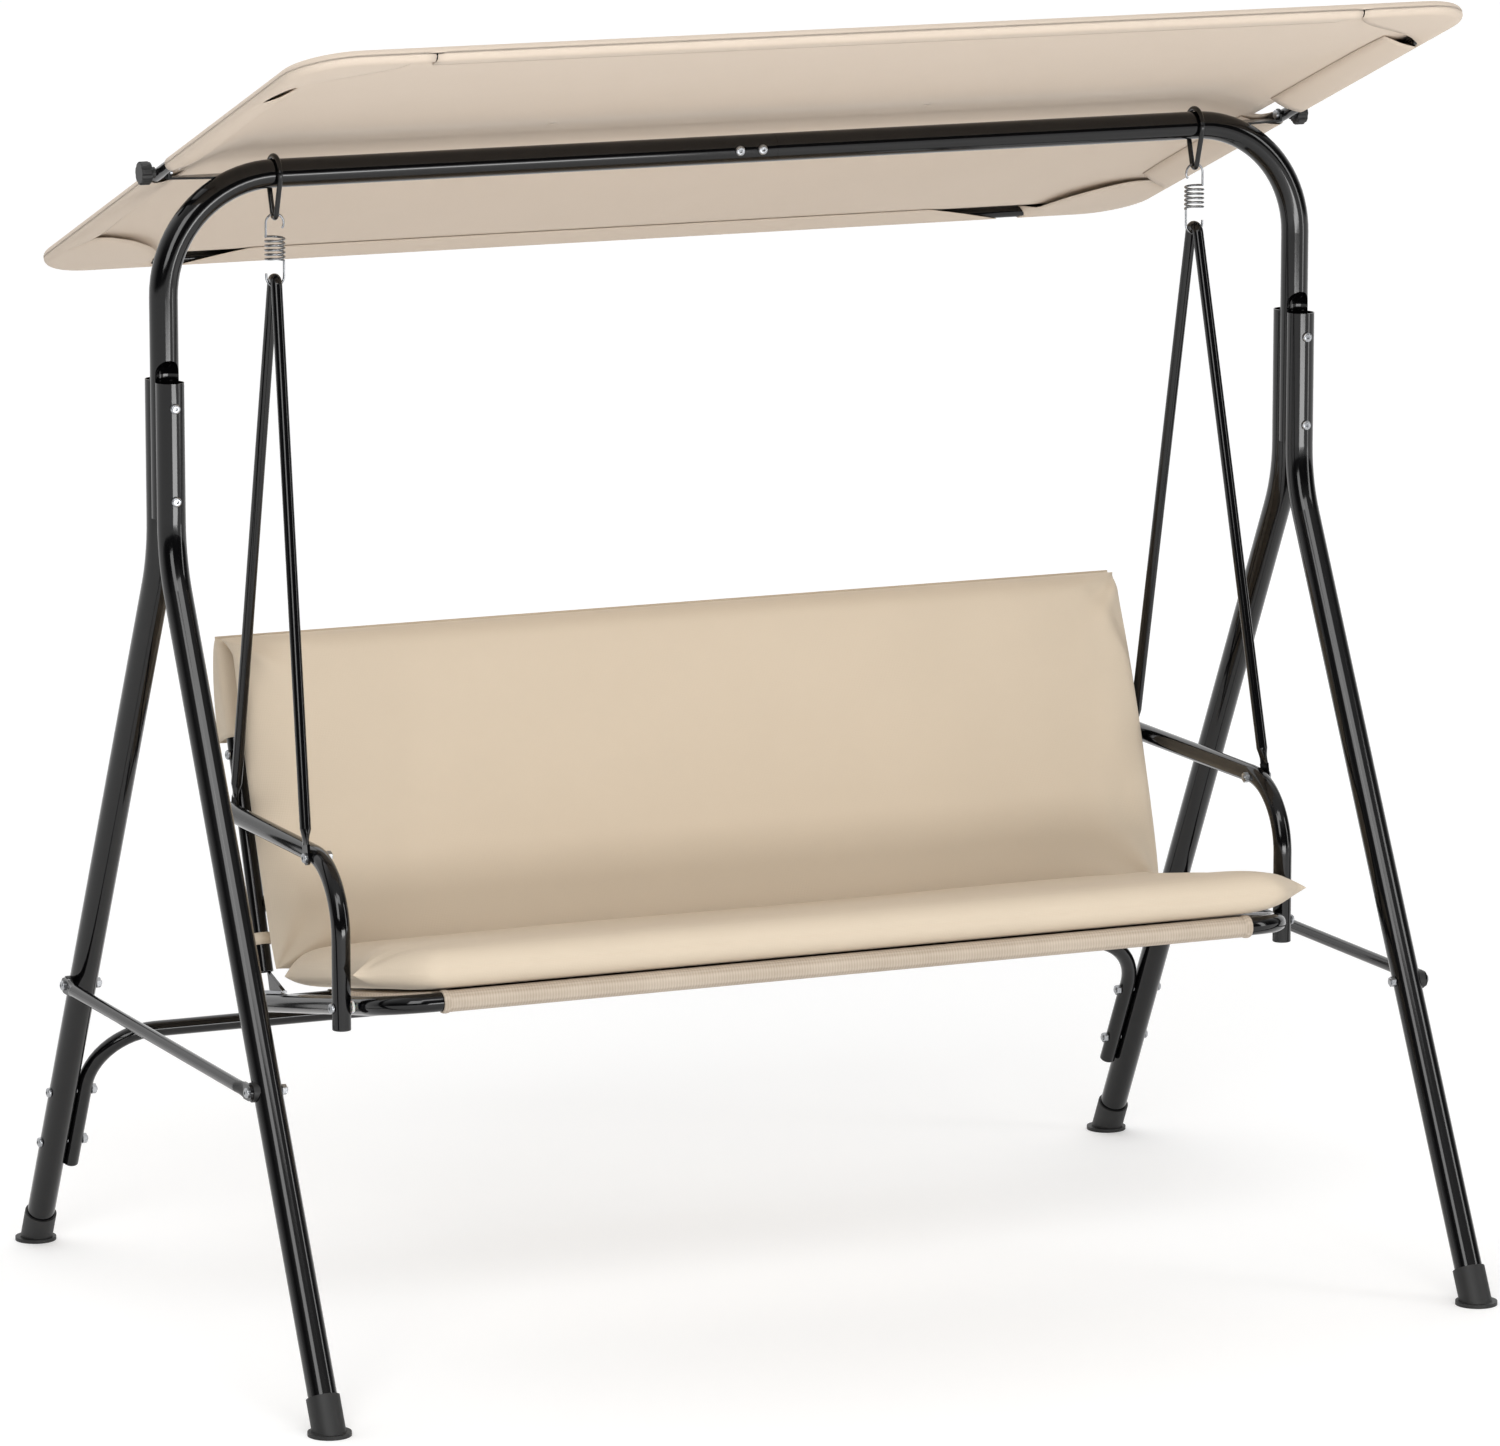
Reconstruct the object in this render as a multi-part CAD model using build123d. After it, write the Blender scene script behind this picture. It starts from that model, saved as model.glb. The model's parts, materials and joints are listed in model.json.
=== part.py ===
from build123d import *
from math import asin, atan2, cos, degrees, hypot, radians, sin, sqrt, tan
import os

# A three-seat garden glider swing. Millimetres; +X is the sitter's width, -Y the front, +Z up.
# The origin is the middle of the footprint on the ground.

# ---- driving dimensions: stand ----
stand_half_width = 830.0      # centre plane of each pair of legs
foot_half_depth = 566.0       # where each leg's axis meets the ground
stand_tube = 38.0             # outside diameter of legs and arch
stand_wall = 1.5
leg_lean = 27.5               # splay of the lower legs from the vertical, degrees
leg_bend_radius = 200.0
leg_top = 1283.0
leg_pair_gap = 2.4            # between the front and rear leg where they stand side by side
arch_axis = 1547.5            # height of the arch's straight top, at its axis
arch_bend_radius = 155.0
arch_low_end = 1101.0
arch_split = 40.0             # where the two halves of the arch meet
arch_neck_length = 95.0
dimple_clearance = 0.3        # between a leg and the pinched arch post it clamps
dimple_rise = 28.0            # how far the pinch runs on above the leg tops

boot_diameter = 44.0
boot_height = 50.0
boot_flange = 57.0
boot_flange_thickness = 5.0
boot_sole = 6.0
boot_fit = 0.15

# ---- driving dimensions: side braces and rear crossbar ----
brace_tube = 17.0
brace_wall = 1.2
brace_height = 405.5
brace_tab_thickness = 4.0
brace_tab_width = 22.0
brace_tab_length = 40.0
saddle_thickness = 4.0
saddle_size = 26.0
crossbar_tube = 22.0
crossbar_wall = 1.2
crossbar_height = 323.5       # of its straight middle, in the plane of the rear legs
crossbar_drop = 201.0         # from there to its lower ends
crossbar_bend_radius = 88.0
crossbar_fixing_low = 158.0
crossbar_fixing_high = 237.0

# ---- driving dimensions: fasteners ----
bolt_diameter = 8.0
bolt_head = 13.5
bolt_head_height = 4.6
bolt_socket = 5.0
bolt_hole_clearance = 0.25    # radial
nut_across_flats = 12.5
nut_height = 6.0
thread_clearance = 0.05       # radial
thread_past_nut = 2.0
leg_bolt_heights = (1127.8, 1250.4)
arch_bolt_offsets = (-16.0, 17.0)

# ---- driving dimensions: hanging gear ----
hang_inset = 1.0              # the loops hang this far in from where the arch starts to bend
loop_wire = 7.0
loop_seat_clearance = 0.4
loop_low_bend = 7.5           # centreline radius under the arch
loop_low_centre = 1496.5
hook_clearance = 0.3
spring_wire = 3.0
spring_outer = 28.0
spring_turns = 5.5
spring_top = 1465.9
spring_bottom = 1430.3
hook_tip_rise = 5.0

# ---- driving dimensions: hangers, armrests and seat ----
hanger_tube = 15.0
hanger_wall = 1.5
hanger_top = 1415.4
hanger_bend_radius = 9.5
hanger_half_spread = 174.0    # front and rear bolts from the swing's middle
hanger_bolt_height = 668.0
hanger_tab_thickness = 4.0
hanger_tab_width = 19.0
hanger_tab_length = 38.0
tab_clearance = 0.3
armrest_tube = 25.0
armrest_wall = 1.2
armrest_height = 670.0
armrest_bend_radius = 95.0
armrest_front = -256.0
armrest_low_end = 455.0
armrest_rear_overhang = 22.0  # past the rear hanger bolt
spacer_diameter = 16.0        # of the white washer between the armrest and the seat frame
spacer_gap = 3.8
plug_rim = 2.0
plug_depth = 14.0
plug_fit = 0.2
seat_tube = 25.0
seat_wall = 1.2
seat_front = -353.0
seat_front_height = 501.0
seat_slope = 10.7             # degrees, down towards the back
seat_side_length = 452.0      # from the front tube back to the open ends
seat_corner_radius = 75.0
seat_bar_tube = 22.0
seat_bar_from_end = 40.0

# ---- driving dimensions: back frame ----
back_tube = 22.0
back_wall = 1.2
back_lean = 19.75
back_top = 872.0              # height of the top bar's axis
back_joint = 762.0            # where the upper frame plugs into the posts
back_neck_length = 45.0
back_bolt_height = 738.0
back_corner_radius = 60.0
back_low_bar_height = 545.0
post_low_end = 458.0
gusset_thickness = 5.0
gusset_reach = 76.0
gusset_height = 34.0
shim_thickness = 4.0
shim_width = 9.0
gusset_curve = (0.36, 0.62)   # where its edge bulges to, as shares of its reach and height

# ---- driving dimensions: soft goods ----
sling_inset = 73.0            # its ends clear the bent corners of the seat frame
sling_thickness = 1.4
sling_clearance = 0.3
cushion_clearance = 0.4
seat_cushion_thickness = 60.0
cushion_inset = 5.0           # from the side tubes' axes
seat_cushion_tip_out = 38.0   # the front corners stick out past those axes, ahead of the armrest posts
seat_cushion_tip_along = 54.0
seat_cushion_front = 26.0     # overhang in front of the front tube's axis
seat_cushion_depth = 425.0
back_cushion_thickness = 58.0
back_cushion_low = 455.0
cushion_roll = 40.0           # how far in from its edges a cushion is rounded
pocket_slack = 1.8
pocket_thickness = 2.5
pocket_drop = 120.0
strap_height = 16.0
strap_thickness = 1.5
strap_level = 500.0
strap_tail = 40.0             # from the post's axis to the cushion

# ---- driving dimensions: canopy ----
canopy_tilt = 20.25           # front edge up, degrees
canopy_pivot_y = 22.8
canopy_pivot_z = 1553.5
canopy_inset = 6.0            # the side tubes' axes, in from the stand's posts
canopy_front_reach = 577.0    # pivot to the axis of the front tube, along the slope
canopy_rear_reach = 530.0
canopy_corner_radius = 75.0
canopy_tube = 16.0
canopy_wall = 1.0
canopy_side_length = 700.0
canopy_neck_length = 40.0
fabric_thickness = 2.0
fabric_clearance = 0.5
ridge_height = 32.0           # the fabric's middle above the tubes' axes, to pass over the arch
ridge_inset = 90.0
ridge_half_flat = 45.0
hem_width = 43.0
hem_gap_length = 46.0         # opening in the side hem for the pivot
bracket_thickness = 3.0
bracket_width = 16.0
bracket_length = 80.0         # of its level arm, from the eye in towards the arch
bracket_foot = 27.0           # of the arm's wide end, where it is welded to the arch
pivot_bolt = 6.0
knob_diameter = 31.0
knob_thickness = 15.0
knob_gap = 4.0
knob_flutes = 7
knob_bore_clearance = 0.1
thread_in_knob = 0.6          # how far the bolt reaches into the knob, as a share of its thickness

neck_fit = 0.2                # radial, of every swaged tube joint
flat_share = 0.45             # how much of a flattened end is fully flat

# ---- values worked out from them ----
stand_r = stand_tube / 2
leg_y = (stand_tube + leg_pair_gap) / 2
leg_corner_z = (foot_half_depth - leg_y) / tan(radians(leg_lean))
leg_dir = Vector(0, sin(radians(leg_lean)), -cos(radians(leg_lean)))
bolt_r = bolt_diameter / 2
hole_r = bolt_r + bolt_hole_clearance
trim = 8 * stand_tube         # size of the blocks that trim a foot level
seat_back_dir = Vector(0, cos(radians(seat_slope)), -sin(radians(seat_slope)))
seat_up = Vector(0, sin(radians(seat_slope)), cos(radians(seat_slope)))
back_ahead = Vector(0, -cos(radians(back_lean)), sin(radians(back_lean)))
hang_half_width = stand_half_width - arch_bend_radius - hang_inset
canopy_half_width = stand_half_width - canopy_inset
post_x = hang_half_width - tab_clearance - hanger_tab_thickness / 2 - back_tube / 2
armrest_x = hang_half_width + tab_clearance + (hanger_tab_thickness + armrest_tube) / 2
seat_half_width = armrest_x - (armrest_tube + seat_tube) / 2 - spacer_gap
sling_half_width = seat_half_width - sling_inset
cushion_half_width = seat_half_width - cushion_inset
seat_cushion_tip = seat_half_width + seat_cushion_tip_out
pocket_half_width = post_x + back_tube / 2 + pocket_slack + pocket_thickness
front_tab_x = armrest_x + armrest_tube / 2 + tab_clearance + hanger_tab_thickness / 2
hook_r = (spring_outer - spring_wire) / 2
upper_hook_apex = loop_low_centre - loop_low_bend + (loop_wire + spring_wire) / 2 + hook_clearance
lower_hook_low = hanger_top - hanger_tube - spring_wire / 2 - hook_clearance

sides = {"left": -1, "right": 1}
nodes = {}


# ---- helpers ----
def save(name, *solids):
    """Keep one sub-part: one solid, or a group of identical ones."""
    nodes[name] = list(solids)


def cut(body, *tools):
    """Take each tool away from a solid and give the largest solid that is left."""
    for tool in tools:
        body = body - tool
    return body.solids().sort_by(SortBy.VOLUME)[-1]


def rod(start, end, radius):
    """A round bar from one point to another."""
    start, end = Vector(*start), Vector(*end)
    plane = Plane(origin=start, z_dir=end - start)
    return plane * Cylinder(radius, (end - start).length, align=(Align.CENTER, Align.CENTER, Align.MIN))


def sweep_tube(path, diameter, wall):
    """A round tube along a path."""
    section = Plane(origin=path @ 0, z_dir=path % 0) * (Circle(diameter / 2) - Circle(diameter / 2 - wall))
    return sweep(section, path=path).solids()[0]


def sweep_bar(path, diameter):
    """A solid round bar along a path."""
    section = Plane(origin=path @ 0, z_dir=path % 0) * Circle(diameter / 2)
    return sweep(section, path=path).solids()[0]


def bolt(seat, direction, grip):
    """A button-head bolt: seat is under the head, and grip is the thickness that it clamps."""
    head = Cylinder(bolt_head / 2, bolt_head_height, align=(Align.CENTER, Align.CENTER, Align.MAX))
    head = fillet(head.edges().sort_by(Axis.Z)[0], bolt_head_height * 0.62)
    socket = extrude(RegularPolygon(bolt_socket / 2, 6), bolt_head_height * 0.6)
    socket = Pos(0, 0, -bolt_head_height) * socket
    length = grip + nut_height + thread_past_nut
    shank = Cylinder(bolt_r, length, align=(Align.CENTER, Align.CENTER, Align.MIN))
    shank = chamfer(shank.edges().sort_by(Axis.Z)[-1], bolt_r / 5)
    return Plane(origin=seat, z_dir=direction) * (head - socket + shank).solids()[0]


def nut(seat, direction):
    """A hexagon nut that sits on a face at seat, around a bolt that points along direction."""
    blank = extrude(RegularPolygon(nut_across_flats / 2, 6, major_radius=False), nut_height)
    bore = Cylinder(bolt_r + thread_clearance, nut_height * 3)
    return Plane(origin=seat, z_dir=direction) * (blank - bore).solids()[0]


def flat_end(tube_end, hole, face_dir, diameter, thickness, width):
    """The flattened end of a tube: a loft to a flat tab with a round end and its bolt hole."""
    tube_end, hole, face_dir = Vector(*tube_end), Vector(*hole), Vector(*face_dir)
    along = (hole - tube_end).normalized()
    across = along.cross(face_dir).normalized()
    flat_along = face_dir.cross(across).normalized()
    reach = (hole - tube_end).length * flat_share
    shoulder = hole - flat_along * reach
    round_plane = Plane(origin=tube_end, x_dir=across, z_dir=along)
    flat_plane = Plane(origin=shoulder, x_dir=across, z_dir=flat_along)
    neck = loft([round_plane * Circle(diameter / 2), flat_plane * SlotOverall(width, thickness)])
    tab_plane = Plane(origin=hole, x_dir=flat_along, z_dir=face_dir)
    tab = Pos(-reach / 2, 0) * Rectangle(reach, width) + Circle(width / 2)
    tab = tab_plane * extrude(tab, thickness / 2, both=True)
    return neck + tab


def screw_hole(point, direction, length, radius=hole_r):
    """The drilling for a bolt, centred on a point."""
    return Plane(origin=point, z_dir=direction) * Cylinder(radius, length)


def mirror_x(solid, side):
    """The given right-hand solid, or its mirror image for the left side."""
    return solid if side > 0 else solid.mirror(Plane.YZ)


# ---- stand: legs, boots ----
def leg(side, face):
    """One bent leg. side is -1 left or 1 right; face is -1 front or 1 rear."""
    x = side * stand_half_width
    foot = Vector(x, face * foot_half_depth, 0)
    past = foot + Vector(0, face * leg_dir.Y, leg_dir.Z) * stand_tube
    path = FilletPolyline((x, face * leg_y, leg_top), (x, face * leg_y, leg_corner_z), past,
                          radius=leg_bend_radius)
    body = sweep_tube(path, stand_tube, stand_wall)
    below = Box(trim, trim, trim, align=(Align.CENTER, Align.CENTER, Align.MAX))
    below = Pos(foot.X, foot.Y, boot_sole) * below
    holes = [screw_hole((x, face * leg_y, z), (0, 1, 0), stand_tube * 1.5) for z in leg_bolt_heights]
    holes.append(screw_hole((x, face * leg_axis_y(brace_height), brace_height), (1, 0, 0), stand_tube * 1.5))
    if face > 0:
        for z in (crossbar_fixing_low, crossbar_fixing_high):
            holes.append(screw_hole((x, leg_axis_y(z), z), (1, 0, 0), stand_tube * 1.5))
    return cut(body, below, *holes)


def leg_axis_y(height):
    """How far out the sloping part of a leg's axis is at a height."""
    return foot_half_depth - height * tan(radians(leg_lean))


def boot(side, face):
    """A rubber boot: a slanted cup round the leg's end, with a level flange on the ground."""
    foot = Vector(side * stand_half_width, face * foot_half_depth, 0)
    up = Vector(0, -face * leg_dir.Y, -leg_dir.Z)
    cup = rod(foot - up * boot_diameter, foot + up * boot_height, boot_diameter / 2)
    flange = Pos(foot.X, foot.Y, 0) * Cylinder(boot_flange / 2, boot_flange_thickness,
                                               align=(Align.CENTER, Align.CENTER, Align.MIN))
    ground = Pos(foot.X, foot.Y, 0) * Box(trim, trim, trim, align=(Align.CENTER, Align.CENTER, Align.MAX))
    bore = rod(foot - up * boot_diameter, foot + up * boot_height * 2, stand_r + boot_fit)
    sole = Pos(foot.X, foot.Y, 0) * Box(trim, trim, boot_sole, align=(Align.CENTER, Align.CENTER, Align.MIN))
    return cut(cup + flange, ground, bore - sole)


# ---- stand: arch ----
def arch_half(side):
    """Half of the top arch, pinched at the foot of its post where the two legs clamp it."""
    x = side * stand_half_width
    start = arch_split if side < 0 else arch_split + neck_fit
    corner = (x, 0, arch_axis)
    path = FilletPolyline((start, 0, arch_axis), corner, (x, 0, arch_low_end), radius=arch_bend_radius)
    outer = sweep_bar(path, stand_tube)
    inner = sweep_bar(path, stand_tube - 2 * stand_wall)
    nose_z = leg_top + dimple_rise - sqrt((stand_r + dimple_clearance) ** 2 - (leg_y - stand_r) ** 2)
    for face in (-1, 1):
        outer = outer - dimple(x, face, nose_z, stand_r + dimple_clearance)
        inner = inner - dimple(x, face, nose_z, stand_r + dimple_clearance + stand_wall)
    body = outer - inner
    if side > 0:
        neck_outer = stand_r - stand_wall - neck_fit
        neck_end = arch_split - arch_neck_length
        neck = rod((neck_end, 0, arch_axis), (arch_split + stand_wall * 3, 0, arch_axis), neck_outer)
        bore_end = arch_split + stand_wall * 6
        bore = rod((neck_end - 1, 0, arch_axis), (bore_end, 0, arch_axis), neck_outer - stand_wall)
        shoulder = rod((start, 0, arch_axis), (start + stand_wall, 0, arch_axis), stand_r)
        body = body + (neck + shoulder - bore)
    holes = [screw_hole((x, 0, z), (0, 1, 0), stand_tube * 2) for z in leg_bolt_heights]
    holes += [screw_hole((dx, 0, arch_axis), (0, 1, 0), stand_tube * 2) for dx in arch_bolt_offsets]
    return cut(body, *holes)


def dimple(x, face, nose_z, radius):
    """The round-nosed hollow that a leg leaves in the arch post."""
    length = nose_z - arch_low_end + 10
    shaft = Cylinder(radius, length, align=(Align.CENTER, Align.CENTER, Align.MAX))
    return Pos(x, face * leg_y, nose_z) * (shaft + Sphere(radius))


# ---- stand: braces and crossbar ----
def side_brace(side):
    """A level tube outside the legs, with flattened ends bolted to the front and rear leg."""
    x = stand_half_width + stand_r + saddle_thickness + brace_tab_thickness / 2
    reach = leg_axis_y(brace_height)
    span = reach - brace_tab_length
    middle = rod((x, -span, brace_height), (x, span, brace_height), brace_tube / 2)
    body = middle
    for face in (-1, 1):
        body = body + flat_end((x, face * span, brace_height), (x, face * reach, brace_height), (1, 0, 0),
                               brace_tube, brace_tab_thickness, brace_tab_width)
    bore = rod((x, -span, brace_height), (x, span, brace_height), brace_tube / 2 - brace_wall)
    holes = [screw_hole((x, face * reach, brace_height), (1, 0, 0), brace_tube) for face in (-1, 1)]
    return mirror_x(cut(body, bore, *holes), side)


def brace_saddle(side, face):
    """A moulded block, hollowed to the leg on its inner side, that a brace's end sits on."""
    x = stand_half_width + stand_r + saddle_thickness
    y = face * leg_axis_y(brace_height)
    block = Plane(origin=(x, y, brace_height), z_dir=(-1, 0, 0)) * Cylinder(
        saddle_size / 2, saddle_thickness + stand_r / 2, align=(Align.CENTER, Align.CENTER, Align.MIN))
    leg_line = Vector(0, face * leg_dir.Y, leg_dir.Z)
    middle = Vector(stand_half_width, y, brace_height)
    leg_core = rod(middle - leg_line * 60, middle + leg_line * 60, stand_r + boot_fit)
    return mirror_x(cut(block, leg_core, screw_hole((x, y, brace_height), (1, 0, 0), 80)), side)


def crossbar():
    """The rear crossbar: bent down at both ends, which lie along the inner side of the rear legs."""
    x = stand_half_width - stand_r - crossbar_tube / 2 - tab_clearance
    lift = leg_axis_y(crossbar_height)
    low_z = crossbar_height - crossbar_drop
    points = [(-x, leg_axis_y(low_z), low_z), (-x, lift, crossbar_height), (x, lift, crossbar_height),
              (x, leg_axis_y(low_z), low_z)]
    body = sweep_tube(FilletPolyline(*points, radius=crossbar_bend_radius), crossbar_tube, crossbar_wall)
    holes = [screw_hole((s * x, leg_axis_y(z), z), (1, 0, 0), crossbar_tube * 2)
             for s in (-1, 1) for z in (crossbar_fixing_low, crossbar_fixing_high)]
    return cut(body, *holes)


# ---- canopy carriers ----
def canopy_bracket():
    """An angle welded to the outer bend of the arch, whose upright eye carries the canopy's pivot bolt."""
    x = canopy_half_width - canopy_tube / 2 - tab_clearance - bracket_thickness
    outer = x + bracket_thickness
    inner = outer - bracket_length
    half = bracket_width / 2
    low = canopy_pivot_z - pivot_bolt - tab_clearance - bracket_thickness
    outline = Polyline((inner, 0), (inner + bracket_foot, 0), (outer, canopy_pivot_y - half),
                       (outer, canopy_pivot_y + half), (inner, canopy_pivot_y + half), close=True)
    arm = Pos(0, 0, low) * extrude(make_face(outline), bracket_thickness)
    rise = canopy_pivot_z - low
    eye = Circle(half) + Pos(0, -rise / 2) * Rectangle(bracket_width, rise)
    plane = Plane(origin=(x, canopy_pivot_y, canopy_pivot_z), x_dir=(0, 1, 0), z_dir=(1, 0, 0))
    tab = plane * extrude(eye, bracket_thickness)
    path = FilletPolyline((0, 0, arch_axis), (stand_half_width, 0, arch_axis),
                          (stand_half_width, 0, arch_low_end), radius=arch_bend_radius)
    bore_r = pivot_bolt / 2 + thread_clearance
    hole = screw_hole((x, canopy_pivot_y, canopy_pivot_z), (1, 0, 0), bracket_thickness * 4, bore_r)
    return cut(arm + tab, sweep_bar(path, stand_tube), hole)


# ---- hanging gear ----
def hanger_loop(x):
    """A closed wire loop: round the arch at the top, drawn in to a small bend at the bottom."""
    big = stand_r + loop_seat_clearance + loop_wire / 2
    small = loop_low_bend
    apart = arch_axis - loop_low_centre
    rake = degrees(atan2(big - small, sqrt(apart ** 2 - (big - small) ** 2)))
    c, s = cos(radians(rake)), sin(radians(rake))
    a = Vector(x, big * c, arch_axis - big * s)
    b = Vector(x, small * c, loop_low_centre - small * s)
    a2, b2 = Vector(x, -a.Y, a.Z), Vector(x, -b.Y, b.Z)
    over = ThreePointArc(a, (x, 0, arch_axis + big), a2)
    under = ThreePointArc(b2, (x, 0, loop_low_centre - small), b)
    half = Wire([over, Line(a2, b2)])
    rest = Wire([under, Line(b, a)])
    return (sweep_bar(half, loop_wire) + sweep_bar(rest, loop_wire)).solids()[0]


def coil_spring(x):
    """An open-wound extension spring: its lower hook is on the right, its upper one on the left."""
    wire_r = spring_wire / 2
    low = spring_bottom + wire_r
    high = spring_top - wire_r
    helix = Helix(pitch=(high - low) / spring_turns, height=high - low, radius=hook_r)
    helix = Pos(x, 0, low) * helix
    section = Plane(origin=helix @ 0, z_dir=helix % 0) * Circle(wire_r)
    coil = sweep(section, path=helix, is_frenet=True)
    near, far = x + hook_r, x - hook_r
    low_centre = lower_hook_low + hook_r
    high_centre = upper_hook_apex - hook_r
    lower = Wire([Line((near, 0, low), (near, 0, low_centre)),
                  ThreePointArc((near, 0, low_centre), (x, 0, lower_hook_low), (far, 0, low_centre)),
                  Line((far, 0, low_centre), (far, 0, low_centre + hook_tip_rise))])
    curl = radians(35)
    tip = (x + hook_r * cos(curl), 0, high_centre - hook_r * sin(curl))
    upper = Wire([Line((far, 0, high), (far, 0, high_centre)),
                  ThreePointArc((far, 0, high_centre), (x, 0, upper_hook_apex), tip)])
    knees = [Pos(near, 0, low) * Sphere(wire_r), Pos(far, 0, high) * Sphere(wire_r)]
    body = coil
    for piece in (sweep_bar(lower, spring_wire), sweep_bar(upper, spring_wire), *knees):
        body = body + piece
    return body.solids()[0]


# ---- seat: hangers and armrests ----
def hanger():
    """The right-hand hanger: one tube bent to an upside-down V, with a flattened end at each bolt."""
    bend_z = hanger_top - hanger_tube / 2 - hanger_bend_radius
    drop = bend_z - hanger_bolt_height
    splay = atan2(hanger_half_spread, drop) - asin(hanger_bend_radius / hypot(hanger_half_spread, drop))
    apex = Vector(hang_half_width, 0, bend_z + hanger_bend_radius / sin(splay))
    ends = [Vector(front_tab_x, -hanger_half_spread, hanger_bolt_height),
            Vector(hang_half_width, hanger_half_spread, hanger_bolt_height)]
    starts = [end + (apex - end).normalized() * hanger_tab_length for end in ends]
    path = FilletPolyline(starts[0], apex, starts[1], radius=hanger_bend_radius)
    tube = sweep_tube(path, hanger_tube, hanger_wall)
    body = tube
    for start, end in zip(starts, ends):
        body = body + flat_end(start, end, (1, 0, 0), hanger_tube, hanger_tab_thickness, hanger_tab_width)
    holes = [screw_hole(end, (1, 0, 0), hanger_tube * 2) for end in ends]
    return cut(body, *holes)


def armrest():
    """The right-hand armrest: level from the back post, then bent down to the seat's side tube."""
    rear = hanger_half_spread + armrest_rear_overhang
    path = FilletPolyline((armrest_x, rear, armrest_height), (armrest_x, armrest_front, armrest_height),
                          (armrest_x, armrest_front, armrest_low_end), radius=armrest_bend_radius)
    body = sweep_tube(path, armrest_tube, armrest_wall)
    holes = [screw_hole((armrest_x, y, hanger_bolt_height), (1, 0, 0), armrest_tube * 1.5)
             for y in (-hanger_half_spread, hanger_half_spread)]
    low_hole = (armrest_x, armrest_front, seat_axis_z(armrest_front))
    holes.append(screw_hole(low_hole, (1, 0, 0), armrest_tube * 1.5))
    return cut(body, *holes)


def plug(end, inward, diameter, wall):
    """A moulded plug for a tube's open end: a rim outside and a stem inside."""
    plane = Plane(origin=end, z_dir=inward)
    rim = Cylinder(diameter / 2, plug_rim, align=(Align.CENTER, Align.CENTER, Align.MAX))
    rim = fillet(rim.edges().sort_by(Axis.Z)[0], plug_rim * 0.6)
    stem = Cylinder(diameter / 2 - wall - plug_fit, plug_depth, align=(Align.CENTER, Align.CENTER, Align.MIN))
    return plane * (rim + stem).solids()[0]


def seat_axis_z(y):
    """Height of the seat frame's axis at a depth."""
    return seat_front_height - (y - seat_front) * tan(radians(seat_slope))


def seat_point(x, along, up=0.0):
    """A point of the seat's sloping plane: along it from the front tube's axis, and up square to it."""
    base = Vector(x, seat_front, seat_front_height) + seat_back_dir * along
    return base + seat_up * up


def seat_frame():
    """A U of tube: the front bar and both sides, open at the rear."""
    points = [seat_point(-seat_half_width, seat_side_length), seat_point(-seat_half_width, 0),
              seat_point(seat_half_width, 0), seat_point(seat_half_width, seat_side_length)]
    body = sweep_tube(FilletPolyline(*points, radius=seat_corner_radius), seat_tube, seat_wall)
    low_z = seat_axis_z(armrest_front)
    holes = [screw_hole((s * seat_half_width, armrest_front, low_z), (1, 0, 0), seat_tube * 1.5)
             for s in (-1, 1)]
    return cut(body, *holes)


def seat_bar_ends():
    """The two ends of the seat's rear bar, against the inner sides of the seat frame."""
    along = seat_side_length - seat_bar_from_end
    reach = seat_half_width - seat_tube / 2
    return seat_point(-reach, along), seat_point(reach, along)


# ---- seat: back frame ----
def back_point(x, height):
    """A point of the back's leaning plane at a height."""
    return Vector(x, hanger_half_spread + (height - hanger_bolt_height) * tan(radians(back_lean)), height)


def back_post():
    """The right-hand lower back post, which the hanger, the armrest and the gusset are fixed to."""
    low, high = back_point(post_x, post_low_end), back_point(post_x, back_joint)
    bore = rod(low - (high - low), high * 2 - low, back_tube / 2 - back_wall)
    body = rod(low, high, back_tube / 2) - bore
    holes = [screw_hole(back_point(post_x, z), (1, 0, 0), back_tube * 1.5)
             for z in (hanger_bolt_height, back_bolt_height)]
    return cut(body, *holes)


def back_upper_frame():
    """The upper back frame: an upside-down U whose necked ends plug into the posts."""
    lift = neck_fit
    points = [back_point(-post_x, back_joint + lift), back_point(-post_x, back_top),
              back_point(post_x, back_top), back_point(post_x, back_joint + lift)]
    body = sweep_tube(FilletPolyline(*points, radius=back_corner_radius), back_tube, back_wall)
    neck_r = back_tube / 2 - back_wall - neck_fit
    for s in (-1, 1):
        low = back_point(s * post_x, back_joint - back_neck_length)
        high = back_point(s * post_x, back_joint + lift + 8)
        seat = back_point(s * post_x, back_joint + lift)
        ring = rod(seat, seat + (high - seat).normalized() * back_wall, back_tube / 2)
        neck = rod(low, high, neck_r) + ring - rod(low - (high - low), high * 2 - low, neck_r - back_wall)
        body = body + neck
    holes = [screw_hole(back_point(s * post_x, back_bolt_height), (1, 0, 0), back_tube * 1.5)
             for s in (-1, 1)]
    return cut(body, *holes)


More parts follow.
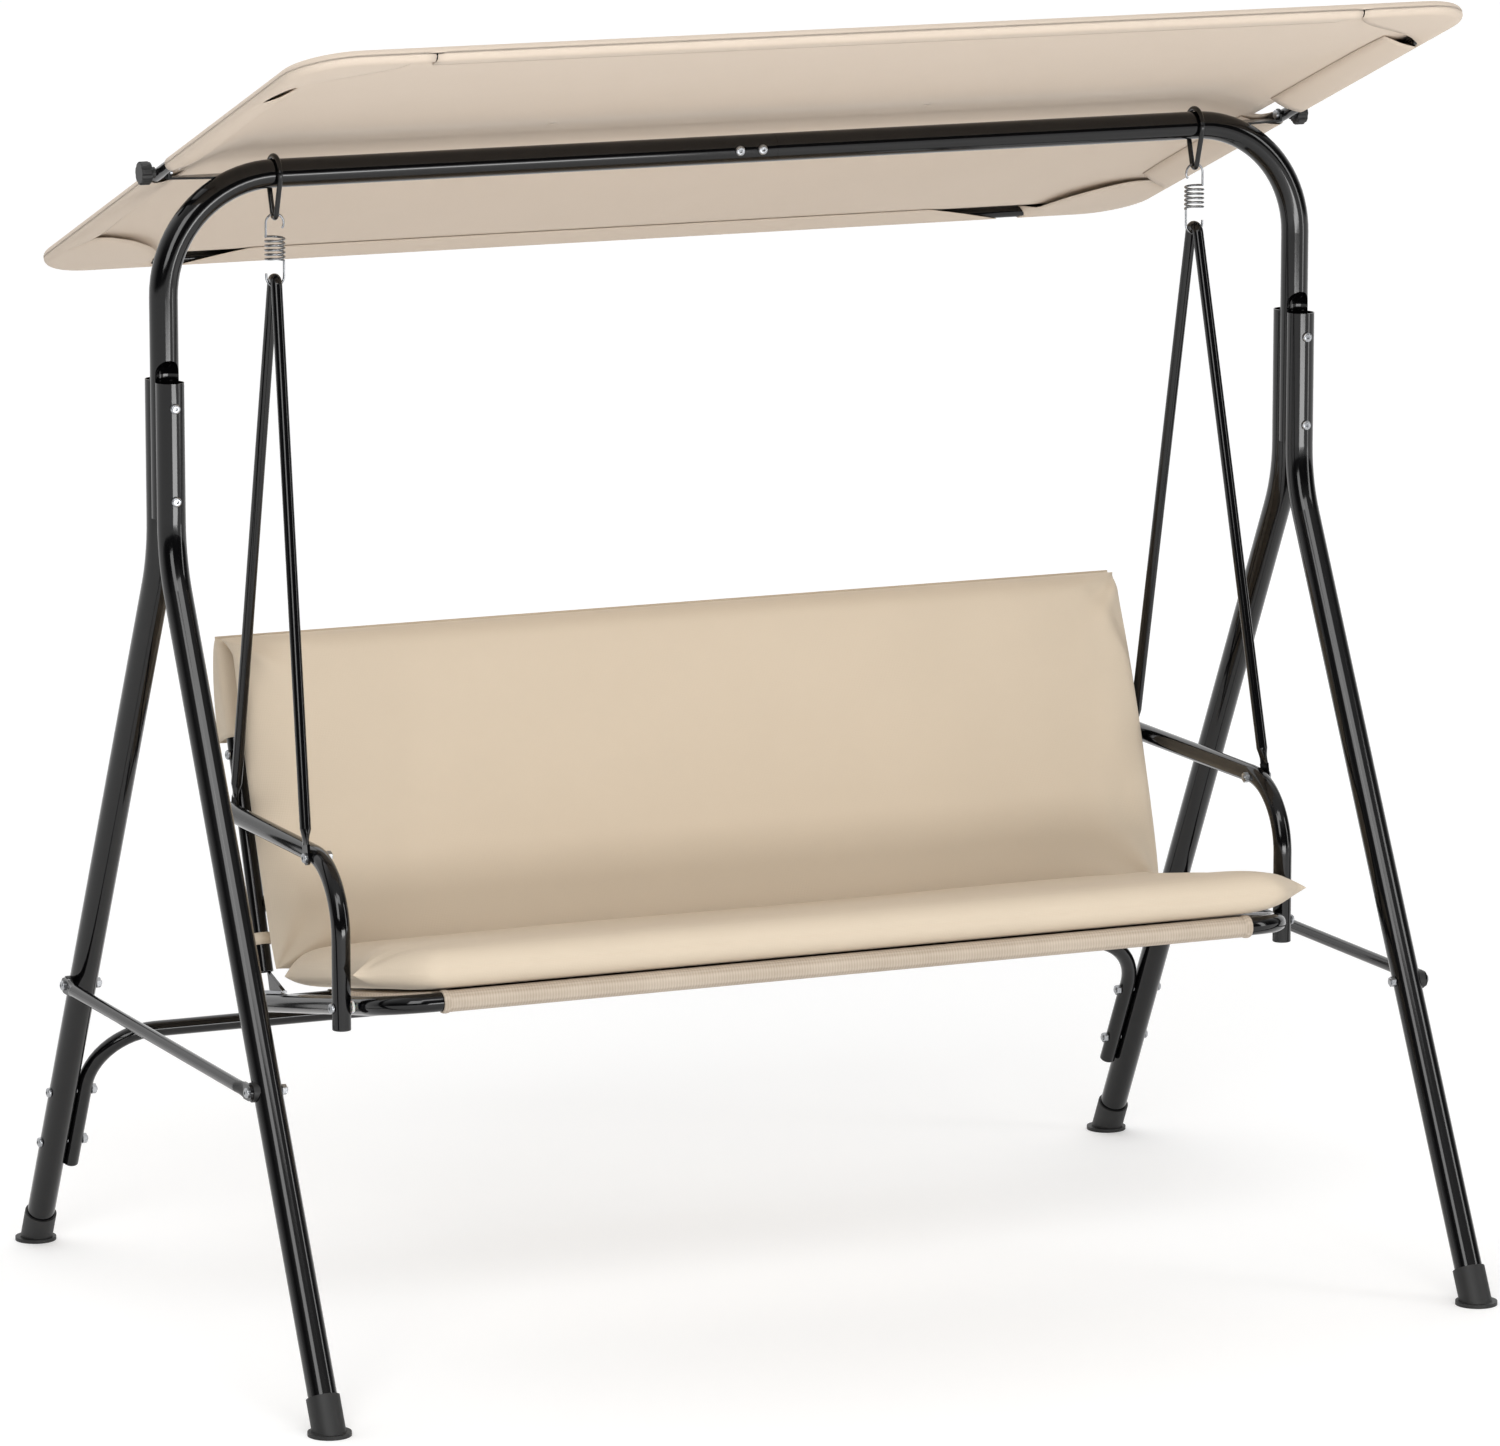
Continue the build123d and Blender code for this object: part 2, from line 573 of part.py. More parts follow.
def gusset_and_shim():
    """The curved plate ahead of the post's foot, and the zinc strip that it stands on, right hand."""
    top = seat_tube / 2 + tab_clearance
    along = (back_point(0, post_low_end).Y - seat_front) / cos(radians(seat_slope))
    middle = Plane(origin=seat_point(seat_half_width, along, top), x_dir=-seat_back_dir, z_dir=(-1, 0, 0))
    strip = Rectangle(gusset_reach, shim_thickness)
    strip = Pos((gusset_reach - shim_width) / 2, shim_thickness / 2) * strip
    shim = middle * extrude(strip, shim_width / 2, both=True)
    base = shim_thickness + tab_clearance
    peak = base + gusset_height
    edge = Polyline((gusset_reach - shim_width / 2, base), (-shim_width / 2, base),
                    (-back_tube / 2, peak), (0, peak))
    bulge = (gusset_reach * gusset_curve[0], base + gusset_height * gusset_curve[1])
    curve = ThreePointArc((0, peak), bulge, (gusset_reach - shim_width / 2, base))
    plate = middle * extrude(make_face([*edge.edges(), curve]), gusset_thickness / 2, both=True)
    low, high = back_point(post_x, post_low_end), back_point(post_x, back_joint)
    return cut(plate, rod(low - (high - low), high, back_tube / 2 + tab_clearance)), shim.solids()[0]


# ---- soft goods ----
def sling(first, second, up, radius_first, radius_second, half_width):
    """A woven sling: a sleeve round each of two bars, joined by a flat web on the up side."""
    along = (second - first).normalized()
    plane = Plane(origin=first, x_dir=along, z_dir=along.cross(up))
    span = (second - first).length
    inner_a, inner_b = radius_first + sling_clearance, radius_second + sling_clearance
    outer_a, outer_b = inner_a + sling_thickness, inner_b + sling_thickness
    web = make_face(Polyline((0, inner_a), (span, inner_b), (span, outer_b), (0, outer_a), close=True))
    sleeves = Circle(outer_a) + Pos(span, 0) * Circle(outer_b)
    bores = Circle(inner_a) + Pos(span, 0) * Circle(inner_b)
    return (plane * extrude(sleeves + web - bores, half_width, both=True)).solids()[0]


def seat_cushion():
    """The seat cushion: a crowned pad on the sling, its front corners drawn out past the armrest posts."""
    base = seat_tube / 2 + sling_clearance + sling_thickness + cushion_clearance
    thick, front = seat_cushion_thickness, seat_cushion_front
    rear = seat_cushion_depth - front
    outline = Polyline((-front / 2, 0), (rear, 0), (rear, thick / 2), (rear - cushion_roll, thick),
                       (cushion_roll, thick), (-front, thick / 2), close=True)
    side_plane = Plane(origin=seat_point(0, 0, base), x_dir=seat_back_dir, z_dir=(1, 0, 0))
    pad = side_plane * extrude(make_face(outline), cushion_half_width, both=True)
    post_face = armrest_front - armrest_tube / 2 - cushion_clearance
    behind = (post_face - seat_front) / cos(radians(seat_slope)) - thick * tan(radians(seat_slope))
    root = cushion_half_width - cushion_roll
    top_plane = Plane(origin=seat_point(0, 0, base + thick / 2), x_dir=(1, 0, 0), z_dir=seat_up)
    body = pad
    for s in (-1, 1):
        corner = Polyline((s * root, -front), (s * seat_cushion_tip, seat_cushion_tip_along), (s * root, behind),
                          close=True)
        body = body + top_plane * extrude(make_face(corner), thick / 4, both=True)
    return body.solids()[0]


def back_cushion():
    """The back cushion: a pad ahead of the back sling, and a pocket that hangs over the upper frame."""
    r = back_tube / 2 + sling_clearance + sling_thickness + cushion_clearance
    slope = cos(radians(back_lean))
    low = (back_cushion_low - back_top) / slope
    top = r + pocket_thickness
    front = r + back_cushion_thickness
    edge = r + back_cushion_thickness / 2
    outline = Polyline((low, r), (low, edge), (low + cushion_roll, front), (-cushion_roll, front), (top, top),
                       (top, r), close=True)
    up = Vector(0, sin(radians(back_lean)), slope)
    plane = Plane(origin=back_point(0, back_top), x_dir=up, z_dir=(1, 0, 0))
    pad = plane * extrude(make_face(outline), cushion_half_width, both=True)
    height = top + pocket_drop
    shell = Pos(top - height / 2, 0) * Rectangle(height, 2 * top)
    hollow = Pos(r - height / 2, 0) * Rectangle(height, 2 * r)
    pocket = plane * extrude(shell, pocket_half_width, both=True)
    inside = plane * extrude(hollow, pocket_half_width - pocket_thickness, both=True)
    return cut(pad + pocket, inside)


def cushion_strap():
    """A tie strap of the cushion: a band round the right-hand post with a tail to the cushion's side."""
    inner = back_tube / 2 + sling_clearance
    middle = back_point(post_x, strap_level)
    axis = (back_point(post_x, back_top) - middle).normalized()
    plane = Plane(origin=middle, x_dir=(1, 0, 0), z_dir=axis)
    band = Circle(inner + strap_thickness) - Circle(inner)
    tail = Pos(-inner - strap_thickness / 2, strap_tail / 2) * Rectangle(strap_thickness, strap_tail)
    return (plane * extrude(band + tail, strap_height / 2, both=True)).solids()[0]


# ---- canopy ----
canopy_plane = Plane(origin=(0, canopy_pivot_y, canopy_pivot_z), x_dir=(1, 0, 0),
                     z_dir=(0, sin(radians(canopy_tilt)), cos(radians(canopy_tilt))))


def canopy_bow(reach):
    """The front or rear canopy tube: a shallow U with necked ends, in the canopy's own plane."""
    way = 1 if reach > 0 else -1
    side_end = way * canopy_side_length / 2
    inner_end = side_end + way * neck_fit
    points = [(-canopy_half_width, inner_end), (-canopy_half_width, reach), (canopy_half_width, reach),
              (canopy_half_width, inner_end)]
    body = sweep_tube(FilletPolyline(*points, radius=canopy_corner_radius), canopy_tube, canopy_wall)
    neck_r = canopy_tube / 2 - canopy_wall - neck_fit
    for s in (-1, 1):
        x = s * canopy_half_width
        start, shoulder = side_end - way * canopy_neck_length, side_end + way * (neck_fit + canopy_wall)
        neck = rod((x, start, 0), (x, shoulder + way * 4, 0), neck_r)
        ring = rod((x, inner_end, 0), (x, shoulder, 0), canopy_tube / 2)
        bore = rod((x, start - way, 0), (x, shoulder + way * 8, 0), neck_r - canopy_wall)
        body = body + (neck + ring - bore)
    return canopy_plane * body.solids()[0]


def canopy_side_tube(side):
    """A straight side tube, drilled for the pivot bolt."""
    x = side * canopy_half_width
    half = canopy_side_length / 2
    body = rod((x, -half, 0), (x, half, 0), canopy_tube / 2)
    body = body - rod((x, -half - 1, 0), (x, half + 1, 0), canopy_tube / 2 - canopy_wall)
    hole = screw_hole((x, 0, 0), (1, 0, 0), canopy_tube * 2, pivot_bolt / 2 + bolt_hole_clearance)
    return canopy_plane * cut(body, hole)


def canopy_shell(offset, floor):
    """The canopy's outer form: a flat rounded tray with a low hipped ridge, grown by an offset."""
    half = canopy_half_width + offset
    front, rear = canopy_front_reach + offset, canopy_rear_reach + offset
    middle = (rear - front) / 2
    rim = Pos(0, middle, floor) * RectangleRounded(2 * half, front + rear, canopy_corner_radius + offset)
    tray = extrude(rim, offset - floor)
    low = Pos(0, middle, offset) * RectangleRounded(2 * half, front + rear, canopy_corner_radius + offset)
    high = Pos(0, 0, ridge_height - canopy_tube / 2 + offset) * RectangleRounded(
        2 * (half - ridge_inset), 2 * (ridge_half_flat + offset), ridge_half_flat)
    return tray + loft([low, high])


def canopy_fabric():
    """The canopy's cloth: a skin over the tubes with a hem folded under all round."""
    inner = canopy_tube / 2 + fabric_clearance
    outer = inner + fabric_thickness
    skin = canopy_shell(outer, -outer) - canopy_shell(inner, -inner)
    middle = (canopy_rear_reach - canopy_front_reach) / 2
    depth = canopy_front_reach + canopy_rear_reach
    open_half = canopy_half_width + outer - hem_width
    opening = RectangleRounded(2 * open_half, depth + 2 * (outer - hem_width), canopy_corner_radius)
    window = Pos(0, middle, -outer) * extrude(opening, fabric_thickness * 3, both=True)
    gap = Pos(0, 0, inner) * Box(3 * canopy_half_width, hem_gap_length, 3 * outer,
                                 align=(Align.CENTER, Align.CENTER, Align.MAX))
    return canopy_plane * cut(skin, window, gap)


def canopy_knob():
    """The right-hand fluted hand knob, bored for the pivot bolt."""
    body = Cylinder(knob_diameter / 2, knob_thickness, align=(Align.CENTER, Align.CENTER, Align.MIN))
    body = fillet(body.edges().filter_by(GeomType.CIRCLE), knob_thickness * 0.16)
    flute_r = knob_diameter * 0.16
    for i in range(knob_flutes):
        turn = Rot(0, 0, 360 * i / knob_flutes) * Pos(knob_diameter / 2 + flute_r * 0.45, 0, 0)
        body = body - turn * Cylinder(flute_r, knob_thickness * 3)
    hub_length = fabric_clearance + fabric_thickness + knob_gap - tab_clearance
    hub = Cylinder(knob_diameter / 4, hub_length, align=(Align.CENTER, Align.CENTER, Align.MAX))
    bore = Cylinder(pivot_bolt / 2 + knob_bore_clearance, knob_thickness * 1.4)
    x = canopy_half_width + canopy_tube / 2 + tab_clearance + hub_length
    plane = Plane(origin=(x, canopy_pivot_y, canopy_pivot_z), z_dir=(1, 0, 0))
    return plane * cut(body + hub, bore)


def pivot_stud():
    """The right-hand pivot bolt, fixed in the bracket: its head inside, its thread in the knob."""
    x = canopy_half_width - canopy_tube / 2 - tab_clearance - bracket_thickness
    knob_face = canopy_half_width + canopy_tube / 2 + fabric_clearance + fabric_thickness + knob_gap
    end = knob_face + knob_thickness * thread_in_knob
    head = rod((x - 4, canopy_pivot_y, canopy_pivot_z), (x, canopy_pivot_y, canopy_pivot_z), pivot_bolt)
    shank = rod((x - 1, canopy_pivot_y, canopy_pivot_z), (end, canopy_pivot_y, canopy_pivot_z), pivot_bolt / 2)
    return (head + shank).solids()[0]


# ---- make every node ----
left_spring = coil_spring(-hang_half_width)
for side_name, side in sides.items():
    for face_name, face in (("front", -1), ("rear", 1)):
        save(f"{side_name}_{face_name}_leg", leg(side, face))
        save(f"{side_name}_{face_name}_boot", boot(side, face))
    save(f"arch_{side_name}_half", arch_half(side))
    save(f"{side_name}_side_brace", side_brace(side))
    save(f"{side_name}_hanger_loop", hanger_loop(side * hang_half_width))
    save(f"{side_name}_spring", mirror_x(left_spring.mirror(Plane.YZ), side))
    save(f"{side_name}_hanger", mirror_x(hanger(), side))
    save(f"{side_name}_armrest", mirror_x(armrest(), side))
    save(f"{side_name}_back_post", mirror_x(back_post(), side))
    save(f"{side_name}_canopy_knob", mirror_x(canopy_knob(), side))

save("rear_crossbar", crossbar())
save("brace_saddles", *[brace_saddle(s, f) for s in (-1, 1) for f in (-1, 1)])
save("canopy_brackets", *[mirror_x(canopy_bracket(), s) for s in (-1, 1)])
save("canopy_pivot_bolts", *[mirror_x(pivot_stud(), s) for s in (-1, 1)])

stand_nuts, leg_bolts, arch_bolts, brace_bolts, crossbar_bolts = [], [], [], [], []
leg_face = leg_y + stand_r
for s in (-1, 1):
    for z in leg_bolt_heights:
        leg_bolts.append(bolt((s * stand_half_width, -leg_face, z), (0, 1, 0), 2 * leg_face))
        stand_nuts.append(nut((s * stand_half_width, leg_face, z), (0, 1, 0)))
    outside = stand_half_width + stand_r + saddle_thickness + brace_tab_thickness
    inside = stand_half_width - stand_r
    for f in (-1, 1):
        y = f * leg_axis_y(brace_height)
        brace_bolts.append(bolt((s * outside, y, brace_height), (-s, 0, 0), outside - inside))
        stand_nuts.append(nut((s * inside, y, brace_height), (-s, 0, 0)))
    bar_inside = inside - crossbar_tube - tab_clearance
    for z in (crossbar_fixing_low, crossbar_fixing_high):
        y = leg_axis_y(z)
        crossbar_bolts.append(bolt((s * (stand_half_width + stand_r), y, z), (-s, 0, 0),
                                   stand_half_width + stand_r - bar_inside))
        stand_nuts.append(nut((s * bar_inside, y, z), (-s, 0, 0)))
for dx in arch_bolt_offsets:
    arch_bolts.append(bolt((dx, -stand_r, arch_axis), (0, 1, 0), stand_tube))
    stand_nuts.append(nut((dx, stand_r, arch_axis), (0, 1, 0)))
save("leg_bolts", *leg_bolts)
save("arch_joint_bolts", *arch_bolts)
save("brace_bolts", *brace_bolts)
save("crossbar_bolts", *crossbar_bolts)
save("stand_nuts", *stand_nuts)

hanger_bolts, armrest_bolts, back_bolts, seat_nuts, spacers, plugs = [], [], [], [], [], []
arm_outside, arm_inside = armrest_x + armrest_tube / 2, armrest_x - armrest_tube / 2
seat_outside, seat_inside = seat_half_width + seat_tube / 2, seat_half_width - seat_tube / 2
tab_outside = front_tab_x + hanger_tab_thickness / 2
post_inside, post_outside = post_x - back_tube / 2, post_x + back_tube / 2
for s in (-1, 1):
    front = (s * tab_outside, -hanger_half_spread, hanger_bolt_height)
    hanger_bolts.append(bolt(front, (-s, 0, 0), tab_outside - arm_inside))
    seat_nuts.append(nut((s * arm_inside, -hanger_half_spread, hanger_bolt_height), (-s, 0, 0)))
    rear = (s * arm_outside, hanger_half_spread, hanger_bolt_height)
    hanger_bolts.append(bolt(rear, (-s, 0, 0), arm_outside - post_inside))
    seat_nuts.append(nut((s * post_inside, hanger_half_spread, hanger_bolt_height), (-s, 0, 0)))
    low_z = seat_axis_z(armrest_front)
    low_bolt = (s * arm_outside, armrest_front, low_z)
    armrest_bolts.append(bolt(low_bolt, (-s, 0, 0), arm_outside - seat_inside))
    seat_nuts.append(nut((s * seat_inside, armrest_front, low_z), (-s, 0, 0)))
    ring_ends = [(s * x, armrest_front, low_z)
                 for x in (seat_outside + tab_clearance, arm_inside - tab_clearance)]
    ring = rod(*ring_ends, spacer_diameter / 2)
    spacers.append(cut(ring, screw_hole((s * arm_inside, armrest_front, low_z), (1, 0, 0), 60)))
    joint = back_point(s * post_outside, back_bolt_height)
    back_bolts.append(bolt(joint, (-s, 0, 0), back_tube))
    seat_nuts.append(nut(back_point(s * post_inside, back_bolt_height), (-s, 0, 0)))
    front_end = (s * armrest_x, armrest_front, armrest_low_end)
    rear_end = (s * armrest_x, hanger_half_spread + armrest_rear_overhang, armrest_height)
    plugs.append(plug(front_end, (0, 0, 1), armrest_tube, armrest_wall))
    plugs.append(plug(rear_end, (0, -1, 0), armrest_tube, armrest_wall))
save("hanger_bolts", *hanger_bolts)
save("armrest_bolts", *armrest_bolts)
save("back_frame_bolts", *back_bolts)
save("seat_nuts", *seat_nuts)
save("armrest_spacers", *spacers)
save("armrest_plugs", *plugs)

save("seat_frame", seat_frame())
frame_ends = [seat_point(s * seat_half_width, seat_side_length) for s in (-1, 1)]
save("seat_frame_plugs", *[plug(end, -seat_back_dir, seat_tube, seat_wall) for end in frame_ends])
bar_a, bar_b = seat_bar_ends()
seat_bar = rod(bar_a, bar_b, seat_bar_tube / 2) - rod(bar_a, bar_b, seat_bar_tube / 2 - seat_wall)
seat_core = [rod(seat_point(s * seat_half_width, 0), end, seat_tube / 2)
             for s, end in zip((-1, 1), frame_ends)]
save("seat_rear_bar", cut(seat_bar, *seat_core))

save("back_upper_frame", back_upper_frame())
bar_reach = post_x - back_tube / 4
low_a, low_b = back_point(-bar_reach, back_low_bar_height), back_point(bar_reach, back_low_bar_height)
low_bar = rod(low_a, low_b, back_tube / 2) - rod(low_a, low_b, back_tube / 2 - back_wall)
post_core = [rod(back_point(s * post_x, post_low_end), back_point(s * post_x, back_joint), back_tube / 2)
             for s in (-1, 1)]
save("back_lower_bar", cut(low_bar, *post_core))
gusset, shim = gusset_and_shim()
save("back_gussets", *[mirror_x(gusset, s) for s in (-1, 1)])
save("gusset_shims", *[mirror_x(shim, s) for s in (-1, 1)])

bar_along = seat_side_length - seat_bar_from_end
save("seat_sling", sling(seat_point(0, 0), seat_point(0, bar_along), seat_up, seat_tube / 2, seat_bar_tube / 2,
                         sling_half_width))
save("back_sling", sling(back_point(0, back_top), back_point(0, back_low_bar_height), back_ahead, back_tube / 2,
                         back_tube / 2, sling_half_width))
save("seat_cushion", seat_cushion())
save("back_cushion", back_cushion())
save("cushion_straps", *[mirror_x(cushion_strap(), s) for s in (-1, 1)])

save("canopy_front_tube", canopy_bow(-canopy_front_reach))
save("canopy_rear_tube", canopy_bow(canopy_rear_reach))
save("canopy_side_tubes", *[canopy_side_tube(s) for s in (-1, 1)])
save("canopy_fabric", canopy_fabric())

# ---- write one STEP file per node ----
os.makedirs("parts", exist_ok=True)
for name, solids in nodes.items():
    shape = solids[0] if len(solids) == 1 else Compound(children=solids)
    export_step(shape, f"parts/{name}.step")
print(len(nodes), "nodes,", sum(len(s) for s in nodes.values()), "solids")
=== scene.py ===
# %% [markdown]
# # A garden swing seat
# A three-seat swing hangs on springs from a tubular steel stand, under a tilting cloth canopy.
# The steelwork comes from the construction model, piece by piece, and is only given its finishes here.
# What a construction model can't show well is made in this file: the cloth of the canopy, the two woven
# slings, and the two stuffed cushions with their ties. Each step says what the real piece is, and why
# it's made the way it is.

# %% Start from the construction model
import json
import math
import bpy
import numpy as np
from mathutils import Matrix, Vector


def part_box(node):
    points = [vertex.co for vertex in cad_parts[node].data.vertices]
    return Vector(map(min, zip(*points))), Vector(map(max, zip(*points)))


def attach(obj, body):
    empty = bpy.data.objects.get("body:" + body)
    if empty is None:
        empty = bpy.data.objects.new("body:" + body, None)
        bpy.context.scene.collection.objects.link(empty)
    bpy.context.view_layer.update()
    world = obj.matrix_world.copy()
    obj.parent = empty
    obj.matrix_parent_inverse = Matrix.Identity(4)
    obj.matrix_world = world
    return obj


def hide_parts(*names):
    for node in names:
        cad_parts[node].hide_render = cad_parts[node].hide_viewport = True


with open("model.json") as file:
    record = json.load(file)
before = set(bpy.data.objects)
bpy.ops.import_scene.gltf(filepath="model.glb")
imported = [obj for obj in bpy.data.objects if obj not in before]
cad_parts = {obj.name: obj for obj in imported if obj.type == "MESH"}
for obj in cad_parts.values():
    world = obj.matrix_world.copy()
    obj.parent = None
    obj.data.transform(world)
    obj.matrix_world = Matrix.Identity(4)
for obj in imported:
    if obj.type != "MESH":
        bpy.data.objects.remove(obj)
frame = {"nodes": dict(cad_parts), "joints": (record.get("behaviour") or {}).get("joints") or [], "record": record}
nodes, record = frame["nodes"], frame["record"]
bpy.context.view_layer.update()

# %% [markdown]
# ## Helpers for materials
# A finish is described with colours picked on a screen, which are sRGB. Blender mixes light in linear
# values, so one function turns the hex colour to linear. Another adds a node, with its settings and its
# links, and a third starts a material, so that each finish reads as a short list.

# %% Three helpers
def linear(hex_colour):
    """A hex sRGB colour as linear RGBA."""
    parts = [int(hex_colour[i:i + 2], 16) / 255 for i in (1, 3, 5)]
    return [p / 12.92 if p <= 0.04045 else ((p + 0.055) / 1.055) ** 2.4 for p in parts] + [1.0]


def add(tree, kind, settings=None, links=None):
    """One node in a tree, with its settings by name or by input, and its links by input."""
    node = tree.nodes.new(kind)
    for key, value in (settings or {}).items():
        if isinstance(key, str) and hasattr(node, key):
            setattr(node, key, value)
        else:
            node.inputs[key].default_value = value
    for key, socket in (links or {}).items():
        tree.links.new(socket, node.inputs[key])
    return node


def finish(name, colour, **shader):
    """A new material: its node tree, and its Principled shader with the given settings."""
    material = bpy.data.materials.new(name)
    material.use_nodes = True
    shader_node = material.node_tree.nodes["Principled BSDF"]
    shader_node.inputs["Base Color"].default_value = linear(colour)
    for key, value in shader.items():
        shader_node.inputs[key.replace("_", " ")].default_value = value
    return material, material.node_tree, shader_node


finishes = {}
print("helpers ready")

# %% [markdown]
# ## Gloss black powder coat
# The tubes are steel, powder-coated gloss black. Powder melts to a thick plastic skin, IOR about 1.5,
# with a slight orange-peel of about 1.5 mm that softens each highlight's edge. Black hides everything but
# the reflections, so the roughness is what the eye reads.

# %% Powder coat, on the tubes and on the loops' wire
def orange_peel(tree, shader, grain_mm, depth_mm, rough_low, rough_high):
    """A fine bump and a slow drift of roughness, both from noise in real millimetres."""
    place = add(tree, "ShaderNodeTexCoord").outputs["Object"]
    grain = add(tree, "ShaderNodeTexNoise", {"Scale": 1000 / grain_mm, "Detail": 2}, {"Vector": place})
    drift = add(tree, "ShaderNodeTexNoise", {"Scale": 18, "Detail": 3}, {"Vector": place})
    bump = add(tree, "ShaderNodeBump", {"Strength": 0.5, "Distance": depth_mm / 1000},
               {"Height": grain.outputs["Fac"]})
    spread = add(tree, "ShaderNodeMapRange", {"To Min": rough_low, "To Max": rough_high},
                 {"Value": drift.outputs["Fac"]})
    tree.links.new(bump.outputs["Normal"], shader.inputs["Normal"])
    tree.links.new(spread.outputs["Result"], shader.inputs["Roughness"])


for slot, colour in (("black_powder_coat", "#060607"), ("black_loop_wire", "#0a0a0b")):
    material, tree, shader = finish(slot, colour, IOR=1.5, Specular_IOR_Level=0.42)
    orange_peel(tree, shader, grain_mm=1.5, depth_mm=0.012, rough_low=0.07, rough_high=0.14)
    finishes[slot] = material
print("powder coat made")

# %% [markdown]
# ## Bright zinc
# Bolts, nuts, springs and the thin strips are steel with bright zinc plate: a metal, so its colour is the
# colour of its reflections, and the IOR stays at its default. Barrel plating leaves a soft, slightly
# uneven shine.

# %% Zinc plate
for slot, colour, rough in (("zinc_plated_steel", "#a3a5a8", 0.24), ("zinc_spring_steel", "#8c8e91", 0.2)):
    material, tree, shader = finish(slot, colour, Metallic=1.0)
    orange_peel(tree, shader, grain_mm=0.8, depth_mm=0.02, rough_low=rough, rough_high=rough + 0.14)
    finishes[slot] = material
print("zinc made")

# %% [markdown]
# ## Rubber, moulded plastic and nylon
# The boots are moulded rubber and the knobs glass-filled nylon: both matt from the mould's own texture,
# about 0.6 mm. The washers between armrest and seat are natural nylon, which light enters a little way.

# %% Rubber and plastics
for slot, colour, rough in (("black_rubber", "#1a1a1a", 0.5), ("black_moulded_plastic", "#191919", 0.42)):
    material, tree, shader = finish(slot, colour, IOR=1.5)
    orange_peel(tree, shader, grain_mm=0.6, depth_mm=0.05, rough_low=rough, rough_high=rough + 0.12)
    finishes[slot] = material
material, tree, shader = finish("white_nylon", "#f2f1ec", IOR=1.53, Subsurface_Weight=0.15)
shader.inputs["Subsurface Scale"].default_value = 0.002
orange_peel(tree, shader, grain_mm=0.6, depth_mm=0.03, rough_low=0.3, rough_high=0.4)
finishes["white_nylon"] = material
print("rubber, plastic and nylon made")

# %% [markdown]
# ## Woven cloths
# The canopy and the cushions are plain-woven polyester. A real thread is about 0.35 mm, which is too fine
# to show from here, so the weave is drawn three times as coarse. A slow mottle of two near colours keeps a
# big panel from looking like paper. The darker of the two is also laid into the hollows between threads,
# which is painted shade. The sling is a coarser mesh: coated cords 2 mm wide, with gaps as wide, seen as
# ribs; the gaps are painted in a much darker colour, as painted shade.

# %% Cloth
def weave(slot, colour, shade, thread_mm, depth_mm, rough, axes=("X", "Y")):
    """A woven finish: two crossed waves for the threads, which bump the cloth and pull its colour darker in the
    hollows as painted shade, and noise for the mottle.
    """
    material, tree, shader = finish(slot, colour, Roughness=rough, IOR=1.45, Specular_IOR_Level=0.25)
    shader.inputs["Sheen Weight"].default_value = 0.08
    place = add(tree, "ShaderNodeTexCoord").outputs["Object"]
    threads = [add(tree, "ShaderNodeTexWave",
                   {"bands_direction": axis, "Scale": 1000 / thread_mm / 20 * math.pi, "Distortion": 0.4,
                    "Detail": 1, "Detail Scale": 0.3}, {"Vector": place}) for axis in axes]
    crossed = add(tree, "ShaderNodeMath", {"operation": "ADD"},
                  {0: threads[0].outputs["Fac"], 1: threads[1].outputs["Fac"]})
    mottle = add(tree, "ShaderNodeTexNoise", {"Scale": 9, "Detail": 4, "Roughness": 0.6}, {"Vector": place})
    # Painted shade: a quarter of the thread waves darkens the hollows between threads; the noise is the cloth's
    # own uneven tone.
    fine = add(tree, "ShaderNodeMath", {"operation": "MULTIPLY_ADD", 1: 0.25, 2: 0.0},
               {0: crossed.outputs[0]})
    mottle_and_gap_shade = add(tree, "ShaderNodeMath", {"operation": "MULTIPLY_ADD", 1: 0.6},
                {0: mottle.outputs["Fac"], 2: fine.outputs[0]})
    tint = add(tree, "ShaderNodeMix", {"data_type": "RGBA", 6: linear(shade), 7: linear(colour)},
               {0: mottle_and_gap_shade.outputs[0]})
    bump = add(tree, "ShaderNodeBump", {"Strength": 0.6, "Distance": depth_mm / 1000},
               {"Height": crossed.outputs[0]})
    tree.links.new(tint.outputs[2], shader.inputs["Base Color"])
    tree.links.new(bump.outputs["Normal"], shader.inputs["Normal"])
    finishes[slot] = material
    return tree, shader


# The second colour is the mottle's darker tone and also the painted shade in the hollows; the sling's is much
# darker, painting its gaps as shadow.
weave("beige_canopy_cloth", "#d7c8b8", "#d2c3b2", thread_mm=1.1, depth_mm=0.05, rough=0.75)
weave("beige_cushion_cloth", "#d5c6b1", "#cfc0ab", thread_mm=1.1, depth_mm=0.08, rough=0.85, axes=("X", "Z"))
weave("tan_mesh", "#cdc0b0", "#9c8c7a", thread_mm=2.0, depth_mm=0.3, rough=0.7, axes=("X", "Y"))
print(len(finishes), "finishes:", ", ".join(sorted(finishes)))

# %% [markdown]
# ## Finish the steelwork
# The record says which finish each piece of the construction model has. Its meshes are left as they are.

# %% Put a finish on every piece
for part in record["subparts"]:
    piece, slot = nodes[part["node"]], part["material_slot"]
    piece.data.materials.clear()
    piece.data.materials.append(finishes[slot])
print("finished", len(record["subparts"]), "pieces")

# %% [markdown]
# ## The canopy cloth
# The canopy is one taut cloth, cut to a rectangle with round corners, over a ring of thin tube. Sleeves
# along the front, the rear and the sides hold it on the tube. At each corner a pocket is sewn underneath.
# From below, which is how people see it, the sewing is all there is to look at, so the cloth is built as
# rings that follow the tube: over it, down round it, and back in as sleeves and pockets. A cloth
# simulation would only find again what the tight sewing already fixes.

